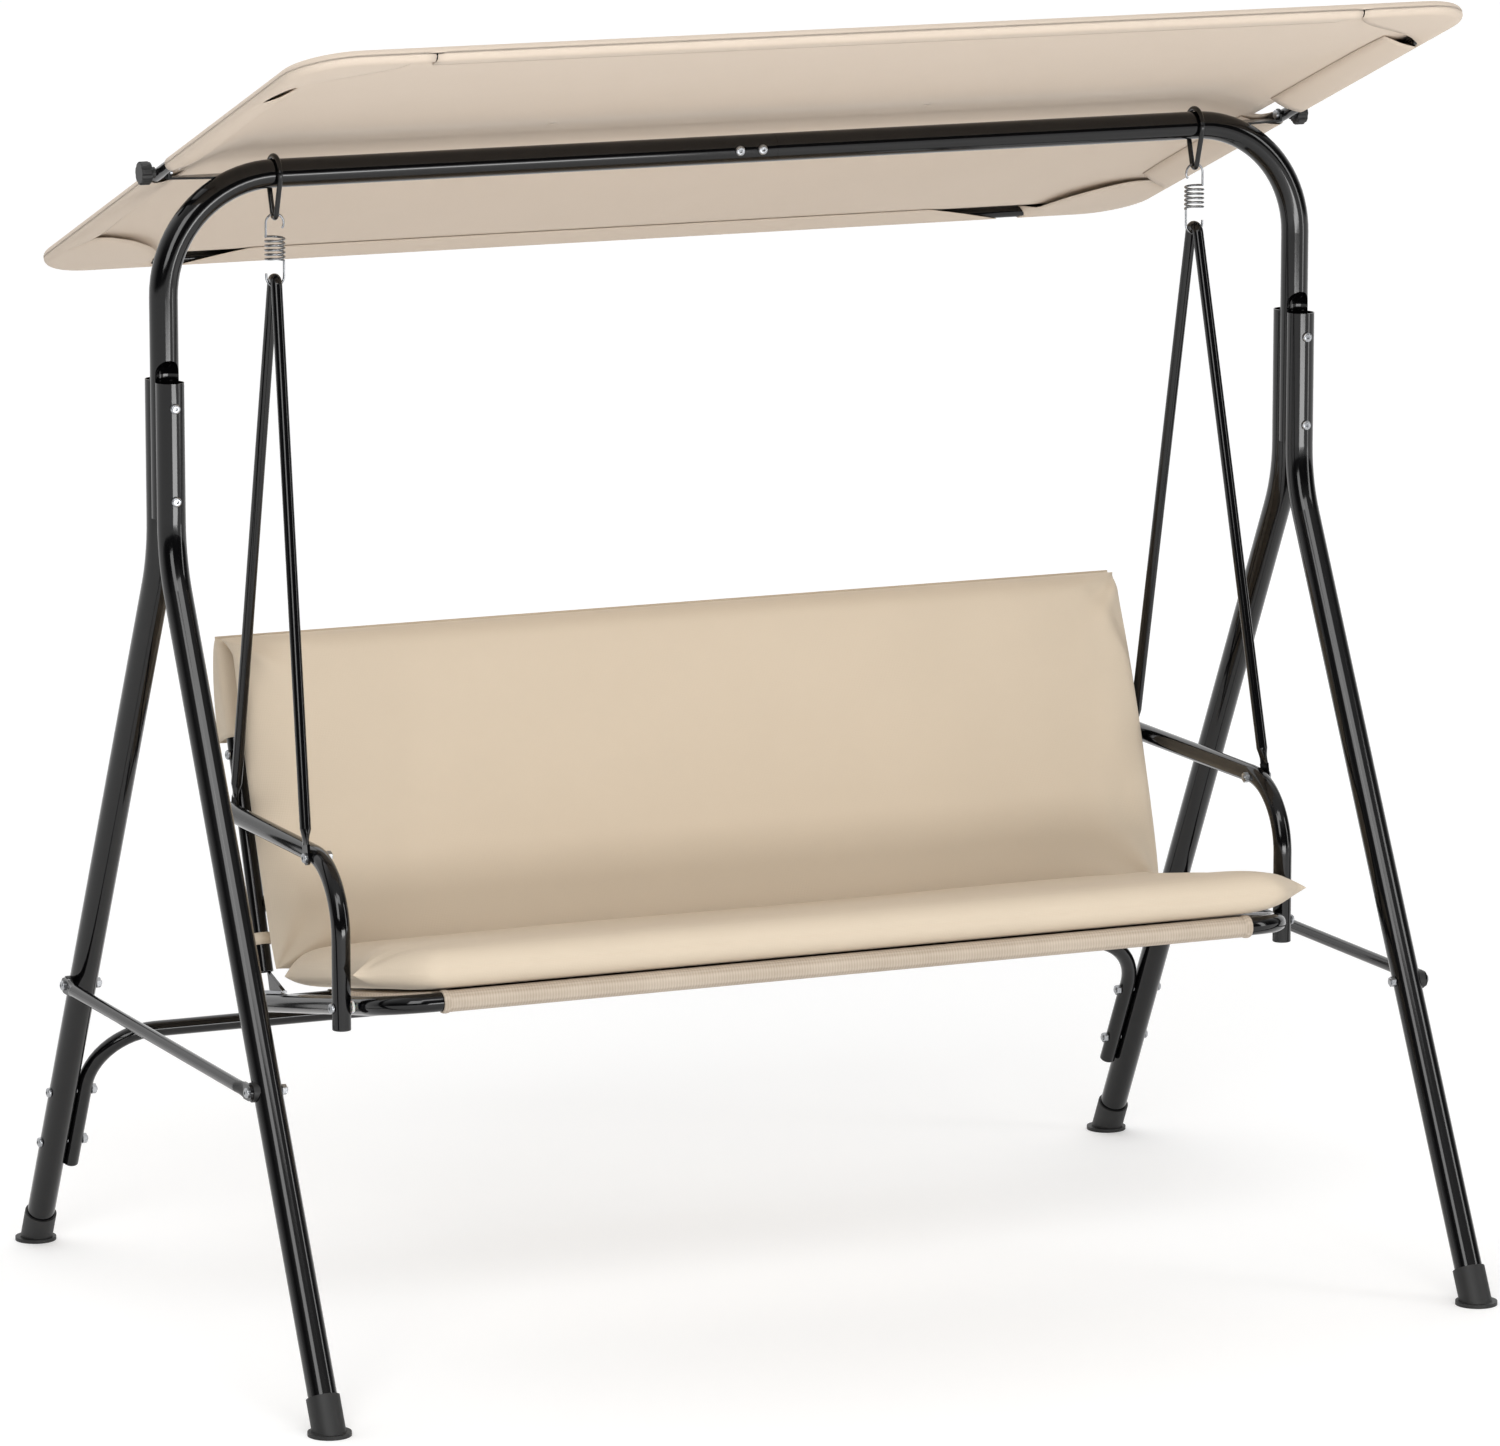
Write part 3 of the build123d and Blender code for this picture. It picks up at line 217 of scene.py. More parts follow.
# %% Where the canopy's tubes are
tube_r = 0.008
front_lo, front_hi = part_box("canopy_front_tube")
rear_lo, rear_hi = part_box("canopy_rear_tube")
front_axis = Vector((0, front_lo.y + tube_r, front_hi.z - tube_r))
rear_axis = Vector((0, rear_hi.y - tube_r, rear_lo.z + tube_r))
pivot = Vector(next(j["pos_m"] for j in frame["joints"] if j["name"] == "canopy_tilt"))
slope = (rear_axis - front_axis).normalized()
half_width = front_hi.x - tube_r
front_reach = (pivot - front_axis).dot(slope)
rear_reach = (rear_axis - pivot).dot(slope)
corner = 0.075
cloth_r = tube_r + 0.0012
across, lift = Vector((1, 0, 0)), Vector((1, 0, 0)).cross(slope)
print("canopy half width", round(half_width, 3), "reaches", round(front_reach, 3), round(rear_reach, 3))


def canopy_point(u, v, w):
    """A point of the canopy: u to the right, v down the slope to the rear, w square to the cloth."""
    return pivot + across * u + slope * v + lift * w


# %% [markdown]
# The ring that follows the tube is the same at every offset: four straight sides and four round corners,
# with as many points each. Points are placed where the sewing starts and ends, so that those edges are
# straight. The opening in each side, for the canopy's pivot, is 68 mm long.

# %% The ring, at any offset from the tube's axis
pocket_u, sleeve_u, mouth_u = 0.655, 0.653, 0.62
notch = (-0.046, 0.022)
side_ends, corner_steps = (-0.400, 0.390), 14


def between(stops, counts):
    """Numbers from stop to stop, with a count of steps for each stretch."""
    out = [stops[0]]
    for low, high, count in zip(stops, stops[1:], counts):
        out += list(np.linspace(low, high, count + 1)[1:])
    return np.array(out)


flat_u = half_width - corner
front_u = between([-flat_u, -pocket_u, -sleeve_u, sleeve_u, pocket_u, flat_u], [6, 2, 90, 2, 6])
rear_u = between([-flat_u, -pocket_u, -mouth_u, mouth_u, pocket_u, flat_u], [6, 2, 90, 2, 6])
side_v = between([-(front_reach - corner), side_ends[0], notch[0], notch[1], side_ends[1],
                  rear_reach - corner], [6, 24, 8, 24, 6])


def ring(offset):
    """The ring's (u, v) points, clockwise from the front left corner's end, at an offset from the axis."""
    radius = max(corner + offset, 0.003)
    x, front, rear = half_width + offset - radius, front_reach + offset - radius, rear_reach + offset - radius
    turn = np.linspace(0, math.pi / 2, corner_steps + 1)[1:-1]
    scale_v = (side_v + front_reach - corner) / (front_reach + rear_reach - 2 * corner)
    v = -front + scale_v * (front + rear)
    out = [(t / flat_u * x, -front - radius) for t in front_u]
    out += [(x + radius * math.sin(a), -front - radius * math.cos(a)) for a in turn]
    out += [(x + radius, t) for t in v]
    out += [(x + radius * math.cos(a), rear + radius * math.sin(a)) for a in turn]
    out += [(t / flat_u * x, rear + radius) for t in rear_u[::-1]]
    out += [(-x - radius * math.sin(a), rear + radius * math.cos(a)) for a in turn]
    out += [(-x - radius, t) for t in v[::-1]]
    out += [(-x - radius * math.cos(a), -front - radius * math.sin(a)) for a in turn]
    return np.array(out)


count = len(ring(0))
print("points round the ring:", count)

# %% [markdown]
# The arch of the stand runs under the cloth, so the cloth is raised along it: a low hipped roof. The seam
# of each sleeve pulls the cloth down level with the tube's axis, which leaves a soft welt over the tube.

# %% How high the cloth is at any point
ridge_rise, ridge_flat, hip, seam_in = 0.0335, 0.045, 0.09, 0.048


def smooth_step(low, high, x):
    t = np.clip((x - low) / (high - low), 0, 1)
    return t * t * (3 - 2 * t)


def roof_height(u, v):
    """The cloth's height over the plane of the tubes' axes."""
    reach = np.where(v < 0, front_reach, rear_reach) - seam_in
    rise = 1 - np.maximum(np.abs(v) - ridge_flat, 0) / (reach - ridge_flat)
    side = (half_width - seam_in * 0.4 - np.abs(u)) / hip
    soft = 0.08
    both = -soft * np.log(np.exp(-rise / soft) + np.exp(-side / soft))
    inside = np.minimum(half_width - np.abs(u), np.minimum(v + front_reach, rear_reach - v))
    welt = cloth_r * (1 - smooth_step(0, seam_in, inside))
    return ridge_rise * np.clip(both, 0, 1) + welt


inward = [0.0, 0.006, 0.014, 0.024, 0.036, 0.048, 0.062, 0.08, 0.1, 0.13, 0.17, 0.22, 0.28, 0.34, 0.40,
          0.45, 0.49, 0.52, 0.54, (front_reach + rear_reach) / 2 - 0.002]
print("ridge", ridge_rise * 1000, "mm over", len(inward), "rings")

# %% [markdown]
# Now the cloth itself. The rows of the roof come in from the tube to the ridge. Faces over each pivot
# opening are left out. Sleeves and pockets start from the same outermost points as the roof, so merging
# those points sews them together.

# %% The roof
verts, faces = [], []


def add_rows(rows, closed, keep=lambda row, column: True):
    """A grid of rows of points, as faces; keep says which of them are there."""
    start, width = len(verts), len(rows[0])
    for row in rows:
        verts.extend(row)
    for i in range(len(rows) - 1):
        for j in range(width if closed else width - 1):
            if keep(i, j):
                a, b = start + i * width + j, start + i * width + (j + 1) % width
                faces.append((a, b, b + width, a + width))


edge_rows = []
for angle in np.linspace(0, 90, 7):
    a = math.radians(angle)
    edge_rows.append([canopy_point(u, v, cloth_r * math.sin(a)) for u, v in ring(cloth_r * math.cos(a))])
roof_rows = []
for step in inward[1:]:
    line = ring(-step)
    heights = roof_height(line[:, 0], line[:, 1])
    roof_rows.append([canopy_point(u, v, w) for (u, v), w in zip(line, heights)])
outer = ring(0.0)
middle = (outer + np.roll(outer, -1, axis=0)) / 2
in_notch = (np.abs(middle[:, 0]) > half_width - 0.001) & (middle[:, 1] > notch[0]) & (middle[:, 1] < notch[1])
cut_rows = len(edge_rows) + 3
add_rows(edge_rows + roof_rows, closed=True, keep=lambda row, column: row >= cut_rows or not in_notch[column])
last = len(verts) - count
rear_start = len(front_u) + corner_steps - 1 + len(side_v) + corner_steps - 1
for j in range(len(front_u) - 1):
    across_from = last + rear_start + len(rear_u) - 1 - j
    faces.append((last + j, last + j + 1, across_from - 1, across_from))
print("roof:", len(verts), "points")

# %% [markdown]
# A sleeve leaves the outermost line, goes down round the tube, and runs in to its seam just under the
# roof. The rear sleeve's mouths are cut on the slant, and stand a little open.

# %% The sleeves
seam_gap = 0.0016


def sleeve(first, last_one, slant_start, slant_end, along):
    """One sleeve from one ring point to another; slants move its inner corners along the tube."""
    picked = [k % count for k in range(first, last_one + 1)]
    share = np.linspace(0, 1, len(picked))
    rows = []
    for angle in (0, 18, 36, 54, 72, 90):
        a = math.radians(angle)
        line = ring(cloth_r * math.cos(a))[picked]
        rows.append([canopy_point(u, v, -cloth_r * math.sin(a)) for u, v in line])
    for t in (0.25, 0.5, 0.75, 1.0):
        line = ring(-seam_in * t)[picked]
        shift = (slant_start * (1 - share) + slant_end * share) * t
        line = line + np.outer(shift, along)
        seam = roof_height(line[:, 0], line[:, 1]) - seam_gap
        droop = 0.003 * math.sin(math.pi * t)
        rows.append([canopy_point(u, v, -cloth_r * (1 - t) + s * t - droop * (1 - t))
                     for (u, v), s in zip(line, seam)])
    add_rows(rows, closed=False)


front_first = int(np.argmin(abs(front_u + sleeve_u)))
front_last = int(np.argmin(abs(front_u - sleeve_u)))
sleeve(front_first, front_last, 0.014, -0.014, (1, 0))
rear_first = rear_start + int(np.argmin(abs(rear_u[::-1] - mouth_u)))
rear_last = rear_start + int(np.argmin(abs(rear_u[::-1] + mouth_u)))
sleeve(rear_first, rear_last, -0.125, 0.09, (1, 0))
side_start = {1: len(front_u) + corner_steps - 1}
side_start[-1] = rear_start + len(rear_u) + corner_steps - 1
stops = [int(np.argmin(abs(side_v - v))) for v in (side_ends[0], notch[0], notch[1], side_ends[1])]
for low, high, slant_low, slant_high in ((stops[0], stops[1], -0.006, -0.012),
                                         (stops[2], stops[3], 0.016, -0.03)):
    sleeve(side_start[1] + low, side_start[1] + high, slant_low, slant_high, (0, 1))
    back = len(side_v) - 1
    sleeve(side_start[-1] + back - high, side_start[-1] + back - low, slant_high, slant_low, (0, 1))
print("sleeves sewn:", len(verts), "points")

# %% [markdown]
# Each corner pocket is a patch that wraps the tube at the corner and ends in a free edge, tight but for a
# few millimetres at its middle. The front pair are cut on the diagonal, the rear pair nearly square.

# %% The corner pockets
front_edge = [(pocket_u, -(front_reach - 0.004)), (0.661, -0.56), (0.678, -0.533), (0.705, -0.503),
              (0.752, -0.462), (0.79, -0.428), (half_width - 0.004, -0.402)]
rear_edge = [(pocket_u, rear_reach - 0.004), (0.66, 0.505), (0.672, 0.465), (0.69, 0.428),
             (0.728, 0.392), (0.774, 0.376), (0.80, 0.379), (half_width - 0.004, side_ends[1])]


def spread(points, number):
    """Points spaced evenly along a line of points, rounded at its bends."""
    points = np.array(points)
    run = np.concatenate([[0], np.cumsum(np.hypot(*np.diff(points, axis=0).T))])
    fine = np.linspace(0, run[-1], 400)
    smooth = np.stack([np.interp(fine, run, points[:, k]) for k in (0, 1)], axis=1)
    for _ in range(400):
        smooth[1:-1] = (smooth[:-2] + smooth[2:]) / 2
    run = np.concatenate([[0], np.cumsum(np.hypot(*np.diff(smooth, axis=0).T))])
    even = np.linspace(0, run[-1], number)
    return np.stack([np.interp(even, run, smooth[:, k]) for k in (0, 1)], axis=1)


def pocket(first, last_one, edge, side, opening):
    """One corner pocket, from ring point to ring point, with its free edge and how far that droops."""
    picked = [k % count for k in range(first, last_one + 1)]
    free = spread(edge, len(picked)) * (side, 1)
    rows = []
    for angle in (0, 18, 36, 54, 72, 90):
        a = math.radians(angle)
        line = ring(cloth_r * math.cos(a))[picked]
        rows.append([canopy_point(u, v, -cloth_r * math.sin(a)) for u, v in line])
    start = ring(0)[picked]
    bow = np.sin(np.linspace(0, math.pi, len(picked)))
    seam = roof_height(free[:, 0], free[:, 1])
    for t in (0.12, 0.3, 0.5, 0.7, 0.85, 1.0):
        line = start * (1 - t) + free * t
        edge_height = np.maximum(seam - 0.002 - opening * bow, -cloth_r)
        height = -cloth_r * (1 - t ** 2) + edge_height * t ** 2
        rows.append([canopy_point(u, v, w) for (u, v), w in zip(line, height)])
    add_rows(rows, closed=False)


first = int(np.argmin(abs(front_u - pocket_u)))
pocket(first, side_start[1] + stops[0], front_edge, 1, 0.0015)
last_front = int(np.argmin(abs(front_u + pocket_u)))
pocket(side_start[-1] + len(side_v) - 1 - stops[0], count + last_front, front_edge[::-1], -1, 0.0015)
right_rear = rear_start + int(np.argmin(abs(rear_u[::-1] - pocket_u)))
pocket(side_start[1] + stops[3], right_rear, rear_edge[::-1], 1, 0.008)
left_rear = rear_start + int(np.argmin(abs(rear_u[::-1] + pocket_u)))
pocket(left_rear, side_start[-1] + len(side_v) - 1 - stops[3], rear_edge, -1, 0.008)
print("pockets sewn:", len(verts), "points")

# %% [markdown]
# The grid becomes one mesh. Points within a twentieth of a millimetre are merged, and the sheet is
# made 0.7 mm thick, a little over the cloth's own 0.4 mm, so that its cut edges show.

# %% One cloth
def make_mesh(name, points, polygons, slot, smooth=True):
    """A mesh object from points and faces, with a finish from the record's list."""
    data = bpy.data.meshes.new(name)
    data.from_pydata([tuple(p) for p in points], [], polygons)
    data.validate()
    made = bpy.data.objects.new(name, data)
    bpy.context.scene.collection.objects.link(made)
    data.materials.append(finishes[slot])
    data.polygons.foreach_set("use_smooth", [smooth] * len(data.polygons))
    return made


def row_quads(rows, width, closed=False):
    """Faces between rows of points, each of that width; a closed row joins its last point to its first."""
    sides = [(j, (j + 1) % width) for j in range(width if closed else width - 1)]
    return [(i * width + j, i * width + k, (i + 1) * width + k, (i + 1) * width + j)
            for i in range(rows - 1) for j, k in sides]


def weld(piece, distance=0.00005):
    """Merges points that are in one place."""
    modifier = piece.modifiers.new("weld", "WELD")
    modifier.merge_threshold = distance


def thicken(piece, thickness, offset=0.0):
    """Gives a sheet its thickness."""
    modifier = piece.modifiers.new("thickness", "SOLIDIFY")
    modifier.thickness, modifier.offset = thickness, offset


canopy = make_mesh("canopy_cloth", verts, faces, "beige_canopy_cloth")
weld(canopy)
thicken(canopy, 0.0007)
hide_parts("canopy_fabric")
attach(canopy, "canopy")
print("canopy cloth:", round(sum(p.area for p in canopy.data.polygons), 3), "square metres")

# %% [markdown]
# ## The two cushions
# Each cushion is two panels of cloth sewn round the edge and stuffed with fibre. Stuffing swells the
# middle, the seam holds the edge, and so the corners stay thin and stick out as tips. A panel's height is
# therefore a dome over its outline, steep at the edge and nearly flat in the middle. Near the tips the
# cloth has no room to swell and puckers.

# %% A stuffed panel
def dome(a, b, steep_a, steep_b):
    """How far a stuffed panel has swelled, from 0 at its seam to 1, over -1..1 across and along."""
    return np.sqrt(np.clip(1 - np.abs(a) ** steep_a, 0, 1) * np.clip(1 - np.abs(b) ** steep_b, 0, 1))


def puckers(x, s, corners, depth, size, folds):
    """Small folds that fan out from each corner, in metres."""
    out = np.zeros_like(x)
    for number, (cx, cs) in enumerate(corners):
        away = np.hypot(x - cx, s - cs)
        angle = np.arctan2(s - cs, x - cx)
        fan = np.sin(folds * angle + 1.3 * number)
        out += depth * fan * np.exp(-(away / size) ** 2) * np.tanh(away / 0.03)
    return out


def unit_grid(across_steps, along_steps):
    """Grids of a and b from -1 to 1, closer together near the edges."""
    a = np.sin(np.linspace(-1, 1, across_steps) * math.pi / 2)
    b = np.sin(np.linspace(-1, 1, along_steps) * math.pi / 2)
    return np.meshgrid(a, b)


def two_panels(name, place, x, s, upper, lower, slot):
    """A closed cushion from its upper and lower heights over one outline."""
    points, polygons = [], []
    rows, columns = x.shape
    for height in (upper, lower):
        base = len(points)
        points += [place(x[i, j], s[i, j], height[i, j]) for i in range(rows) for j in range(columns)]
        for i in range(rows - 1):
            for j in range(columns - 1):
                k = base + i * columns + j
                quad = (k, k + 1, k + columns + 1, k + columns)
                polygons.append(quad if height is upper else quad[::-1])
    made = make_mesh(name, points, polygons, slot)
    weld(made)
    print(name, len(points), "points")
    return made


# %% [markdown]
# The seat cushion lies on the sling, 60 mm thick. Its front tips stick out ahead of the armrest posts,
# and its front edge swells forward between them, over the front tube. Loose filling never shares itself
# out evenly, so the right tip sticks out 21 mm further than the left.

# %% The seat cushion
seat_lo, seat_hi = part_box("seat_frame")
seat_r = 0.0125
seat_tilt = math.radians(10.7)
seat_back = Vector((0, math.cos(seat_tilt), -math.sin(seat_tilt)))
seat_up = Vector((0, math.sin(seat_tilt), math.cos(seat_tilt)))
sling_top = seat_r + 0.0021
seat_zero = Vector((0, seat_lo.y + seat_r, seat_hi.z - seat_r)) + seat_up * sling_top


def seat_place(x, s, h):
    """A point over the seat's sling: across, back from the front tube, and up."""
    return seat_zero + Vector((x, 0, 0)) + seat_back * s + seat_up * h


a, b = unit_grid(260, 110)
near_front = np.exp(-(b + 1) / 0.16)
tip = np.where(a > 0, 0.058, 0.037)
x = a * (0.650 + tip * near_front + 0.004 * np.exp(-(1 - b) / 0.1))
front = -0.024 + 0.078 * smooth_step(0.87, 1.0, np.abs(a)) ** 1.2
rear = 0.392 + 0.006 * smooth_step(0.9, 1.0, np.abs(a))
s = front + (rear - front) * (b + 1) / 2 + 0.0015 * np.exp(-(b + 1) / 0.002)
seam = 0.020 + 0.008 * np.exp(-(b + 1) / 0.5)
swell = dome(a, b, 26, 14)
tips = [(0.708, 0.054), (-0.687, 0.054), (0.65, 0.395), (-0.65, 0.395)]
fold = puckers(x, s, tips, 0.004, 0.10, 9)
upper = seam + (0.060 - seam) * swell + fold * swell ** 0.5
upper += 0.0015 * np.sin(x * 9.0 + 1.0) * np.sin(s * 17.0) * swell
lower = seam * (1 - dome(a, b, 24, 14)) + 0.0006
seat_cushion = two_panels("seat_cushion_cover", seat_place, x, s, upper, lower, "beige_cushion_cloth")
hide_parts("seat_cushion")
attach(seat_cushion, "seat")

# %% [markdown]
# The back cushion is 58 mm thick and leans on the back sling. A pocket sewn behind its upper part hangs
# over the back frame and holds it up. The pocket's rear panel isn't stretched, so it hangs nearly plumb,
# a little behind the leaning frame.

# %% The back cushion's pad
back_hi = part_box("back_upper_frame")[1]
back_r = 0.011
back_lean = math.radians(19.75)
back_up = Vector((0, math.sin(back_lean), math.cos(back_lean)))
back_ahead = Vector((0, -math.cos(back_lean), math.sin(back_lean)))
back_zero = Vector((0, back_hi.y - back_r, back_hi.z - back_r))


def back_place(x, s, h):
    """A point of the back: across, up along it from the top bar's axis, and ahead of it."""
    return back_zero + Vector((x, 0, 0)) + back_up * s + back_ahead * h


pad_back = back_r + 0.0026
a, b = unit_grid(260, 130)
x = a * (0.660 + 0.009 * np.exp(-(1 - b) / 0.05) + 0.0045 * (1 - b ** 2))
low, high = -0.452 + 0.010 * smooth_step(0.85, 1.0, np.abs(a)), 0.013
s = low + (high - low) * (b + 1) / 2
seam = pad_back + 0.027 - 0.021 * smooth_step(0.86, 1.0, b)
swell = dome(a, b, 24, 9)
tips = [(0.669, 0.013), (-0.669, 0.013), (0.662, -0.445), (-0.662, -0.445)]
fold = puckers(x, s, tips, 0.005, 0.13, 8)
side_dimples = 0.0035 * np.exp(-((np.abs(x) - 0.61) / 0.022) ** 2) * np.sin(s * 26.0 + 0.6 * np.sign(x))
upper = seam + (pad_back + 0.058 - seam) * swell + (fold + side_dimples) * swell ** 0.5
upper += 0.002 * np.sin(x * 7.0) * np.sin(s * 12.0 + 0.5) * swell
lower = seam + (pad_back + 0.0005 - seam) * dome(a, b, 24, 14)
back_pad = two_panels("back_cushion_cover", back_place, x, s, upper, lower, "beige_cushion_cloth")
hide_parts("back_cushion")
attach(back_pad, "seat")

# %% [markdown]
# The pocket is made of level loops, from its open lower edge up. Over the bar they close in as the bar's own
# round does, so that the sling's sleeve stays inside, and its top ends in a thin upright seam.

# %% The back cushion's pocket
pocket_half, pocket_drop, shell = 0.672, 0.120, 0.0148
pocket_top, seam_half, loop_points = 0.0157, 0.0008, 240
rows = []
over_bar = np.radians(np.linspace(8, 90, 10))
profile = [(s, shell) for s in np.linspace(-pocket_drop, 0, 18)]
profile += [(pocket_top * math.sin(a), max(shell * math.cos(a), seam_half)) for a in over_bar]
for s_row, thin in profile:
    step = (s_row + pocket_drop) / (pocket_drop + pocket_top)
    hang = 0.030 * (1 - step) ** 1.2
    wide = pocket_half + 0.003 * math.sin(math.pi * step) - 0.002 * step ** 8
    loop = []
    for angle in np.linspace(0, 2 * math.pi, loop_points, endpoint=False):
        c, n = math.cos(angle), math.sin(angle)
        px = wide * abs(c) ** 0.06 * (1 if c >= 0 else -1)
        ph = thin * abs(n) ** 0.5 * (1 if n >= 0 else -1)
        if ph < 0:
            ph -= hang * min(1, abs(n) * 6) + 0.0012 * math.sin(px * 22) * (1 - step)
        loop.append(back_place(px, s_row, ph))
    rows.append(loop)
for rise in (0.002, 0.004):
    rows.append([p + back_up * rise for p in rows[len(profile) - 1]])
points = [p for row in rows for p in row]
quads = row_quads(len(rows), loop_points, closed=True)
back_pocket = make_mesh("back_cushion_pocket", points, quads, "beige_cushion_cloth")
thicken(back_pocket, 0.0009)
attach(back_pocket, "seat")
print("pocket:", len(points), "points")

# %% [markdown]
# ## The slings and their hems
# Two mesh slings carry the cushions. Each is one strip, turned round a bar at both ends and stitched back
# to its own underside. It is stretched, so it sags by a few millimetres only, and its free sides draw in a
# little between the bars. Its ends are turned over and welded, so a thin roll shows round the front tube.

# %% The seat sling and the back sling
def strip(name, path, half_widths, slot):
    """A strip of cloth along a path of points, as wide as is said at each point."""
    columns = np.linspace(-1, 1, 61)
    points = [point + Vector((c * half, 0, 0)) for point, half in zip(path, half_widths) for c in columns]
    made = make_mesh(name, points, row_quads(len(path), len(columns)), slot)
    thicken(made, 0.0012)
    print(name, len(points), "points")
    return made


def sling(name, first, second, up, first_r, second_r):
    """A sling from bar to bar: a sleeve round each, and a web that sags between them. Gives its cut too."""
    along, span = (second - first).normalized(), (second - first).length
    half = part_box(name)[1].x
    lap, tuck, sag_depth, draw_in = 0.034, 0.0016, 0.004, 0.007
    side = [(lap, first_r - tuck, 0.0)]
    side += [(first_r * math.cos(a), first_r * math.sin(a), 0.0)
             for a in np.radians(np.linspace(50, -270, 41))]
    side += [(span * t, first_r + (second_r - first_r) * t, math.sin(math.pi * t))
             for t in np.linspace(0, 1, 41)[1:-1]]
    side += [(span + second_r * math.cos(a), second_r * math.sin(a), 0.0)
             for a in np.radians(np.linspace(90, -230, 41))]
    side.append((span - lap, second_r - tuck, 0.0))
    path = [first + along * x + up * (y - sag_depth * sag) for x, y, sag in side]
    made = strip(f"{name}_mesh", path, [half - draw_in * sag for _, _, sag in side], "tan_mesh")
    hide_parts(name)
    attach(made, "seat")
    run = sum((q - p).length for p, q in zip(path, path[1:]))
    return made, (2 * half, run)


seat_bar_lo, seat_bar_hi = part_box("seat_rear_bar")
back_bar_lo, back_bar_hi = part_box("back_lower_bar")
tube_axis = Vector((0, seat_lo.y + seat_r, seat_hi.z - seat_r))
seat_bar = Vector((0, (seat_bar_lo.y + seat_bar_hi.y) / 2, (seat_bar_lo.z + seat_bar_hi.z) / 2))
back_bar = Vector((0, (back_bar_lo.y + back_bar_hi.y) / 2, (back_bar_lo.z + back_bar_hi.z) / 2))
slings = {"seat_sling": sling("seat_sling", tube_axis, seat_bar, seat_up, seat_r + 0.001, back_r + 0.001),
          "back_sling": sling("back_sling", back_zero, back_bar, back_ahead, back_r + 0.001, back_r + 0.001)}

# %% A rolled hem at each end of the seat sling
edge, hem_r, round_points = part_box("seat_sling")[1].x, seat_r + 0.0023, 48
hems = []
for name, side in (("left", -1), ("right", 1)):
    profile = [(edge - 0.009, hem_r - 0.0008), (edge - 0.0075, hem_r + 0.0004),
               (edge - 0.004, hem_r + 0.0008), (edge - 0.0005, hem_r + 0.0004),
               (edge + 0.0012, hem_r - 0.0006), (edge + 0.0006, hem_r - 0.0022)]
    points = [tube_axis + Vector((side * px, radius * math.cos(turn), radius * math.sin(turn)))
              for px, radius in profile for turn in np.linspace(0, 2 * math.pi, round_points, endpoint=False)]
    quads = row_quads(len(profile), round_points, closed=True)
    hem = make_mesh(f"seat_sling_hem_{name}", points, quads, "tan_mesh")
    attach(hem, "seat")
    hems.append(hem)
print("hems at", round(edge, 3), "either side")

# %% [markdown]
# The back cushion is tied to each lower post by a tape, 16 mm wide, that goes once round the post and ends
# in a short tail.

# %% The tie straps
post_lo, post_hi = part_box("right_back_post")
post_x = (post_lo.x + post_hi.x) / 2
level, band_r, tail, half_tape = 0.5, back_r + 0.00105, 0.040, 0.008
middle = back_zero + back_up * ((level - back_zero.z) / back_up.z)
outline = [(-band_r, y) for y in np.linspace(tail, 0.001, 12)]
outline += [(-band_r * math.cos(a), band_r * math.sin(a)) for a in np.radians(np.linspace(-4, -352, 60))]
points, quads = [], []
for side in (-1, 1):
    base = len(points)
    for x, y in outline:
        for edge in (-half_tape, half_tape):
            points.append(middle + Vector((side * (post_x + x), 0, 0)) - back_ahead * y + back_up * edge)
    quads += [tuple(base + k for k in quad) for quad in row_quads(len(outline), 2)]
straps = make_mesh("cushion_tie_straps", points, quads, "beige_cushion_cloth")
thicken(straps, 0.0012)
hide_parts("cushion_straps")
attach(straps, "seat")
print("straps:", len(points), "points")

# %% [markdown]
# ## What is cloth
# The canopy, the two slings, the back cushion's pocket and the tie straps are the cloth pieces. Below, each
# sling's bars and hems are listed, and its piece and its cut are taken back from the table of slings. The
# canopy's cut is its ring of tube, 1.66 by 1.12 m, with a turn round the tube and a sleeve on every side. The
# pocket is a band once round the back frame, as tall as its drop and its turn over the bar. Both straps
# together make one strip, end to end.

# %% The sheets
for name, bars, rolls in (("seat_sling", ["seat_frame", "seat_rear_bar"], hems),
                          ("back_sling", ["back_upper_frame", "back_lower_bar"], [])):
    piece, flat = slings[name]

# %% [markdown]
# ## Floor, light and camera
# A pale studio with four soft lights: the main one high on the left, a weaker one on the right, a long low
# one that reaches under the canopy, and a wide high one in front. The room behind and above is bright too,
# and shades off towards the front, which keeps black tubes black. The backdrop is plain white only for
# what the camera sees. The floor is a pale matt sheet; what is seen of it, straight or as a reflection, is
# lifted towards white, a little more with distance, so that only the soft shadow remains.

# %% The floor
def graded(tree, value, start, end, low, high):
    """A soft step from low to high, as a value goes from start to end."""
    return add(tree, "ShaderNodeMapRange", {"interpolation_type": "SMOOTHSTEP", "From Min": start,
               "From Max": end, "To Min": low, "To Max": high}, {"Value": value}).outputs["Result"]


def seen_or_mirrored(tree):
    """1 for what is seen straight, in a gloss or through a clear piece, and 0 for all other light."""
    path = add(tree, "ShaderNodeLightPath")
    seen = add(tree, "ShaderNodeMath", {"operation": "MAXIMUM"},
               {0: path.outputs["Is Camera Ray"], 1: path.outputs["Is Glossy Ray"]})
    return add(tree, "ShaderNodeMath", {"operation": "MAXIMUM"},
               {0: seen.outputs[0], 1: path.outputs["Is Transmission Ray"]}).outputs[0]


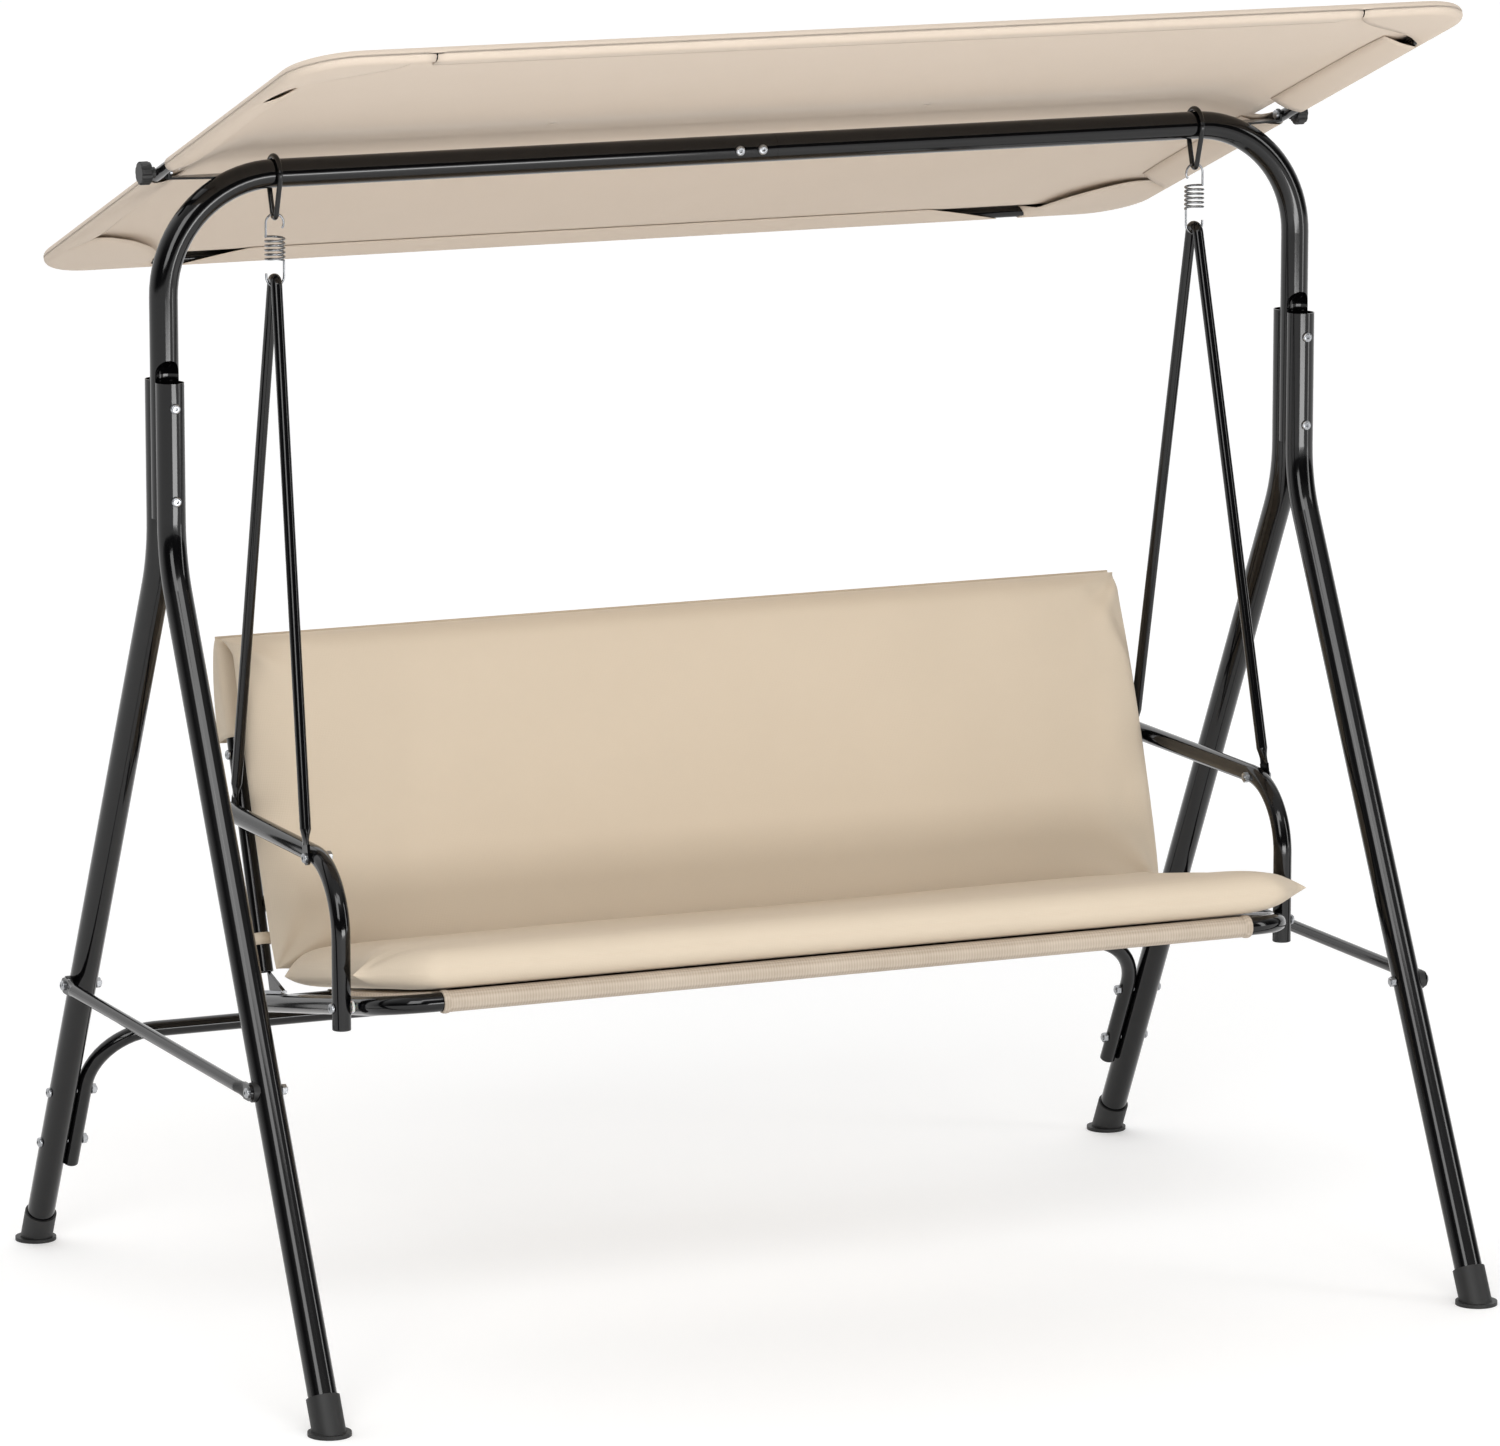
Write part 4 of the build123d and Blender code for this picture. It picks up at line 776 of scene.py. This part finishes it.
bpy.ops.mesh.primitive_plane_add(size=60, location=(0, 0, 0))
floor = bpy.context.object
floor.name = "studio_floor"
material = bpy.data.materials.new("matt_white_paper")
material.use_nodes = True
tree = material.node_tree
shader = tree.nodes["Principled BSDF"]
shader.inputs["Base Color"].default_value = linear("#e8e8e8")
shader.inputs["Roughness"].default_value = 0.9
away = add(tree, "ShaderNodeVectorMath", {"operation": "LENGTH"},
           {0: add(tree, "ShaderNodeTexCoord").outputs["Object"]})
amount = graded(tree, away.outputs["Value"], 1.0, 6.0, 0.25, 0.36)
raised = add(tree, "ShaderNodeMath", {"operation": "MULTIPLY"}, {0: amount, 1: seen_or_mirrored(tree)})
glow = add(tree, "ShaderNodeEmission", {"Color": (1, 1, 1, 1)}, {"Strength": raised.outputs[0]})
both = add(tree, "ShaderNodeAddShader", {}, {0: shader.outputs[0], 1: glow.outputs[0]})
tree.links.new(both.outputs[0], tree.nodes["Material Output"].inputs["Surface"])
floor.data.materials.append(material)
print("floor laid:", floor.name)

# %% The light
world = bpy.data.worlds.new("studio")
bpy.context.scene.world = world
world.use_nodes = True
tree = world.node_tree
around = tree.nodes["Background"]
toward = add(tree, "ShaderNodeSeparateXYZ", {}, {0: add(tree, "ShaderNodeTexCoord").outputs["Generated"]})
wall = graded(tree, toward.outputs["Y"], -0.2, 0.65, 0.04, 1.0)
ceiling = graded(tree, toward.outputs["Z"], 0.25, 0.85, 0.0, 0.6)
total = add(tree, "ShaderNodeMath", {"operation": "ADD"}, {0: wall, 1: ceiling})
tree.links.new(total.outputs[0], around.inputs["Strength"])
around.inputs["Color"].default_value = (1, 1, 1, 1)
backdrop = add(tree, "ShaderNodeBackground", {"Color": (1, 1, 1, 1), "Strength": 1.0})
seen = add(tree, "ShaderNodeLightPath")
choose = add(tree, "ShaderNodeMixShader", {},
             {0: seen.outputs["Is Camera Ray"], 1: around.outputs[0], 2: backdrop.outputs[0]})
tree.links.new(choose.outputs[0], tree.nodes["World Output"].inputs["Surface"])


def soft_light(name, place, target, width, height, power):
    """A rectangular soft light, aimed at a point."""
    data = bpy.data.lights.new(name, "AREA")
    data.shape, data.size, data.size_y, data.energy = "RECTANGLE", width, height, power
    lamp = bpy.data.objects.new(name, data)
    lamp.location = place
    lamp.rotation_euler = (Vector(target) - Vector(place)).to_track_quat("-Z", "Y").to_euler()
    bpy.context.scene.collection.objects.link(lamp)
    return lamp


soft_light("key", (-3.4, -4.2, 3.4), (0, 0, 0.8), 2.2, 3.0, 100)
soft_light("fill", (4.2, -3.0, 1.8), (0, 0, 0.8), 0.8, 3.0, 36)
soft_light("low", (0.2, -4.2, 0.45), (0, 0.4, 2.4), 3.0, 0.6, 56)
soft_light("front", (-0.8, -4.4, 4.8), (0, -0.1, 0.6), 3.2, 1.4, 62)

# %% [markdown]
# The camera stands 11.6 m off with a long lens, to the left and higher than the canopy, and looks down by
# about ten degrees, so that the swing's left side turns towards it.

# %% The camera
yaw, pitch = -0.417005, 0.184142
lens_data = bpy.data.cameras.new("camera")
lens_data.lens, lens_data.sensor_width, lens_data.clip_end = 208.23, 36, 100
camera = bpy.data.objects.new("camera", lens_data)
bpy.context.scene.collection.objects.link(camera)
camera.location = (-4.67886, -10.57823, 2.91919)
back = Vector((math.sin(yaw) * math.cos(pitch), -math.cos(yaw) * math.cos(pitch), math.sin(pitch)))
camera.rotation_euler = (-back).to_track_quat("-Z", "Y").to_euler()
bpy.context.scene.camera = camera
bpy.context.scene.view_settings.view_transform = "Standard"
print("camera at", tuple(camera.location))
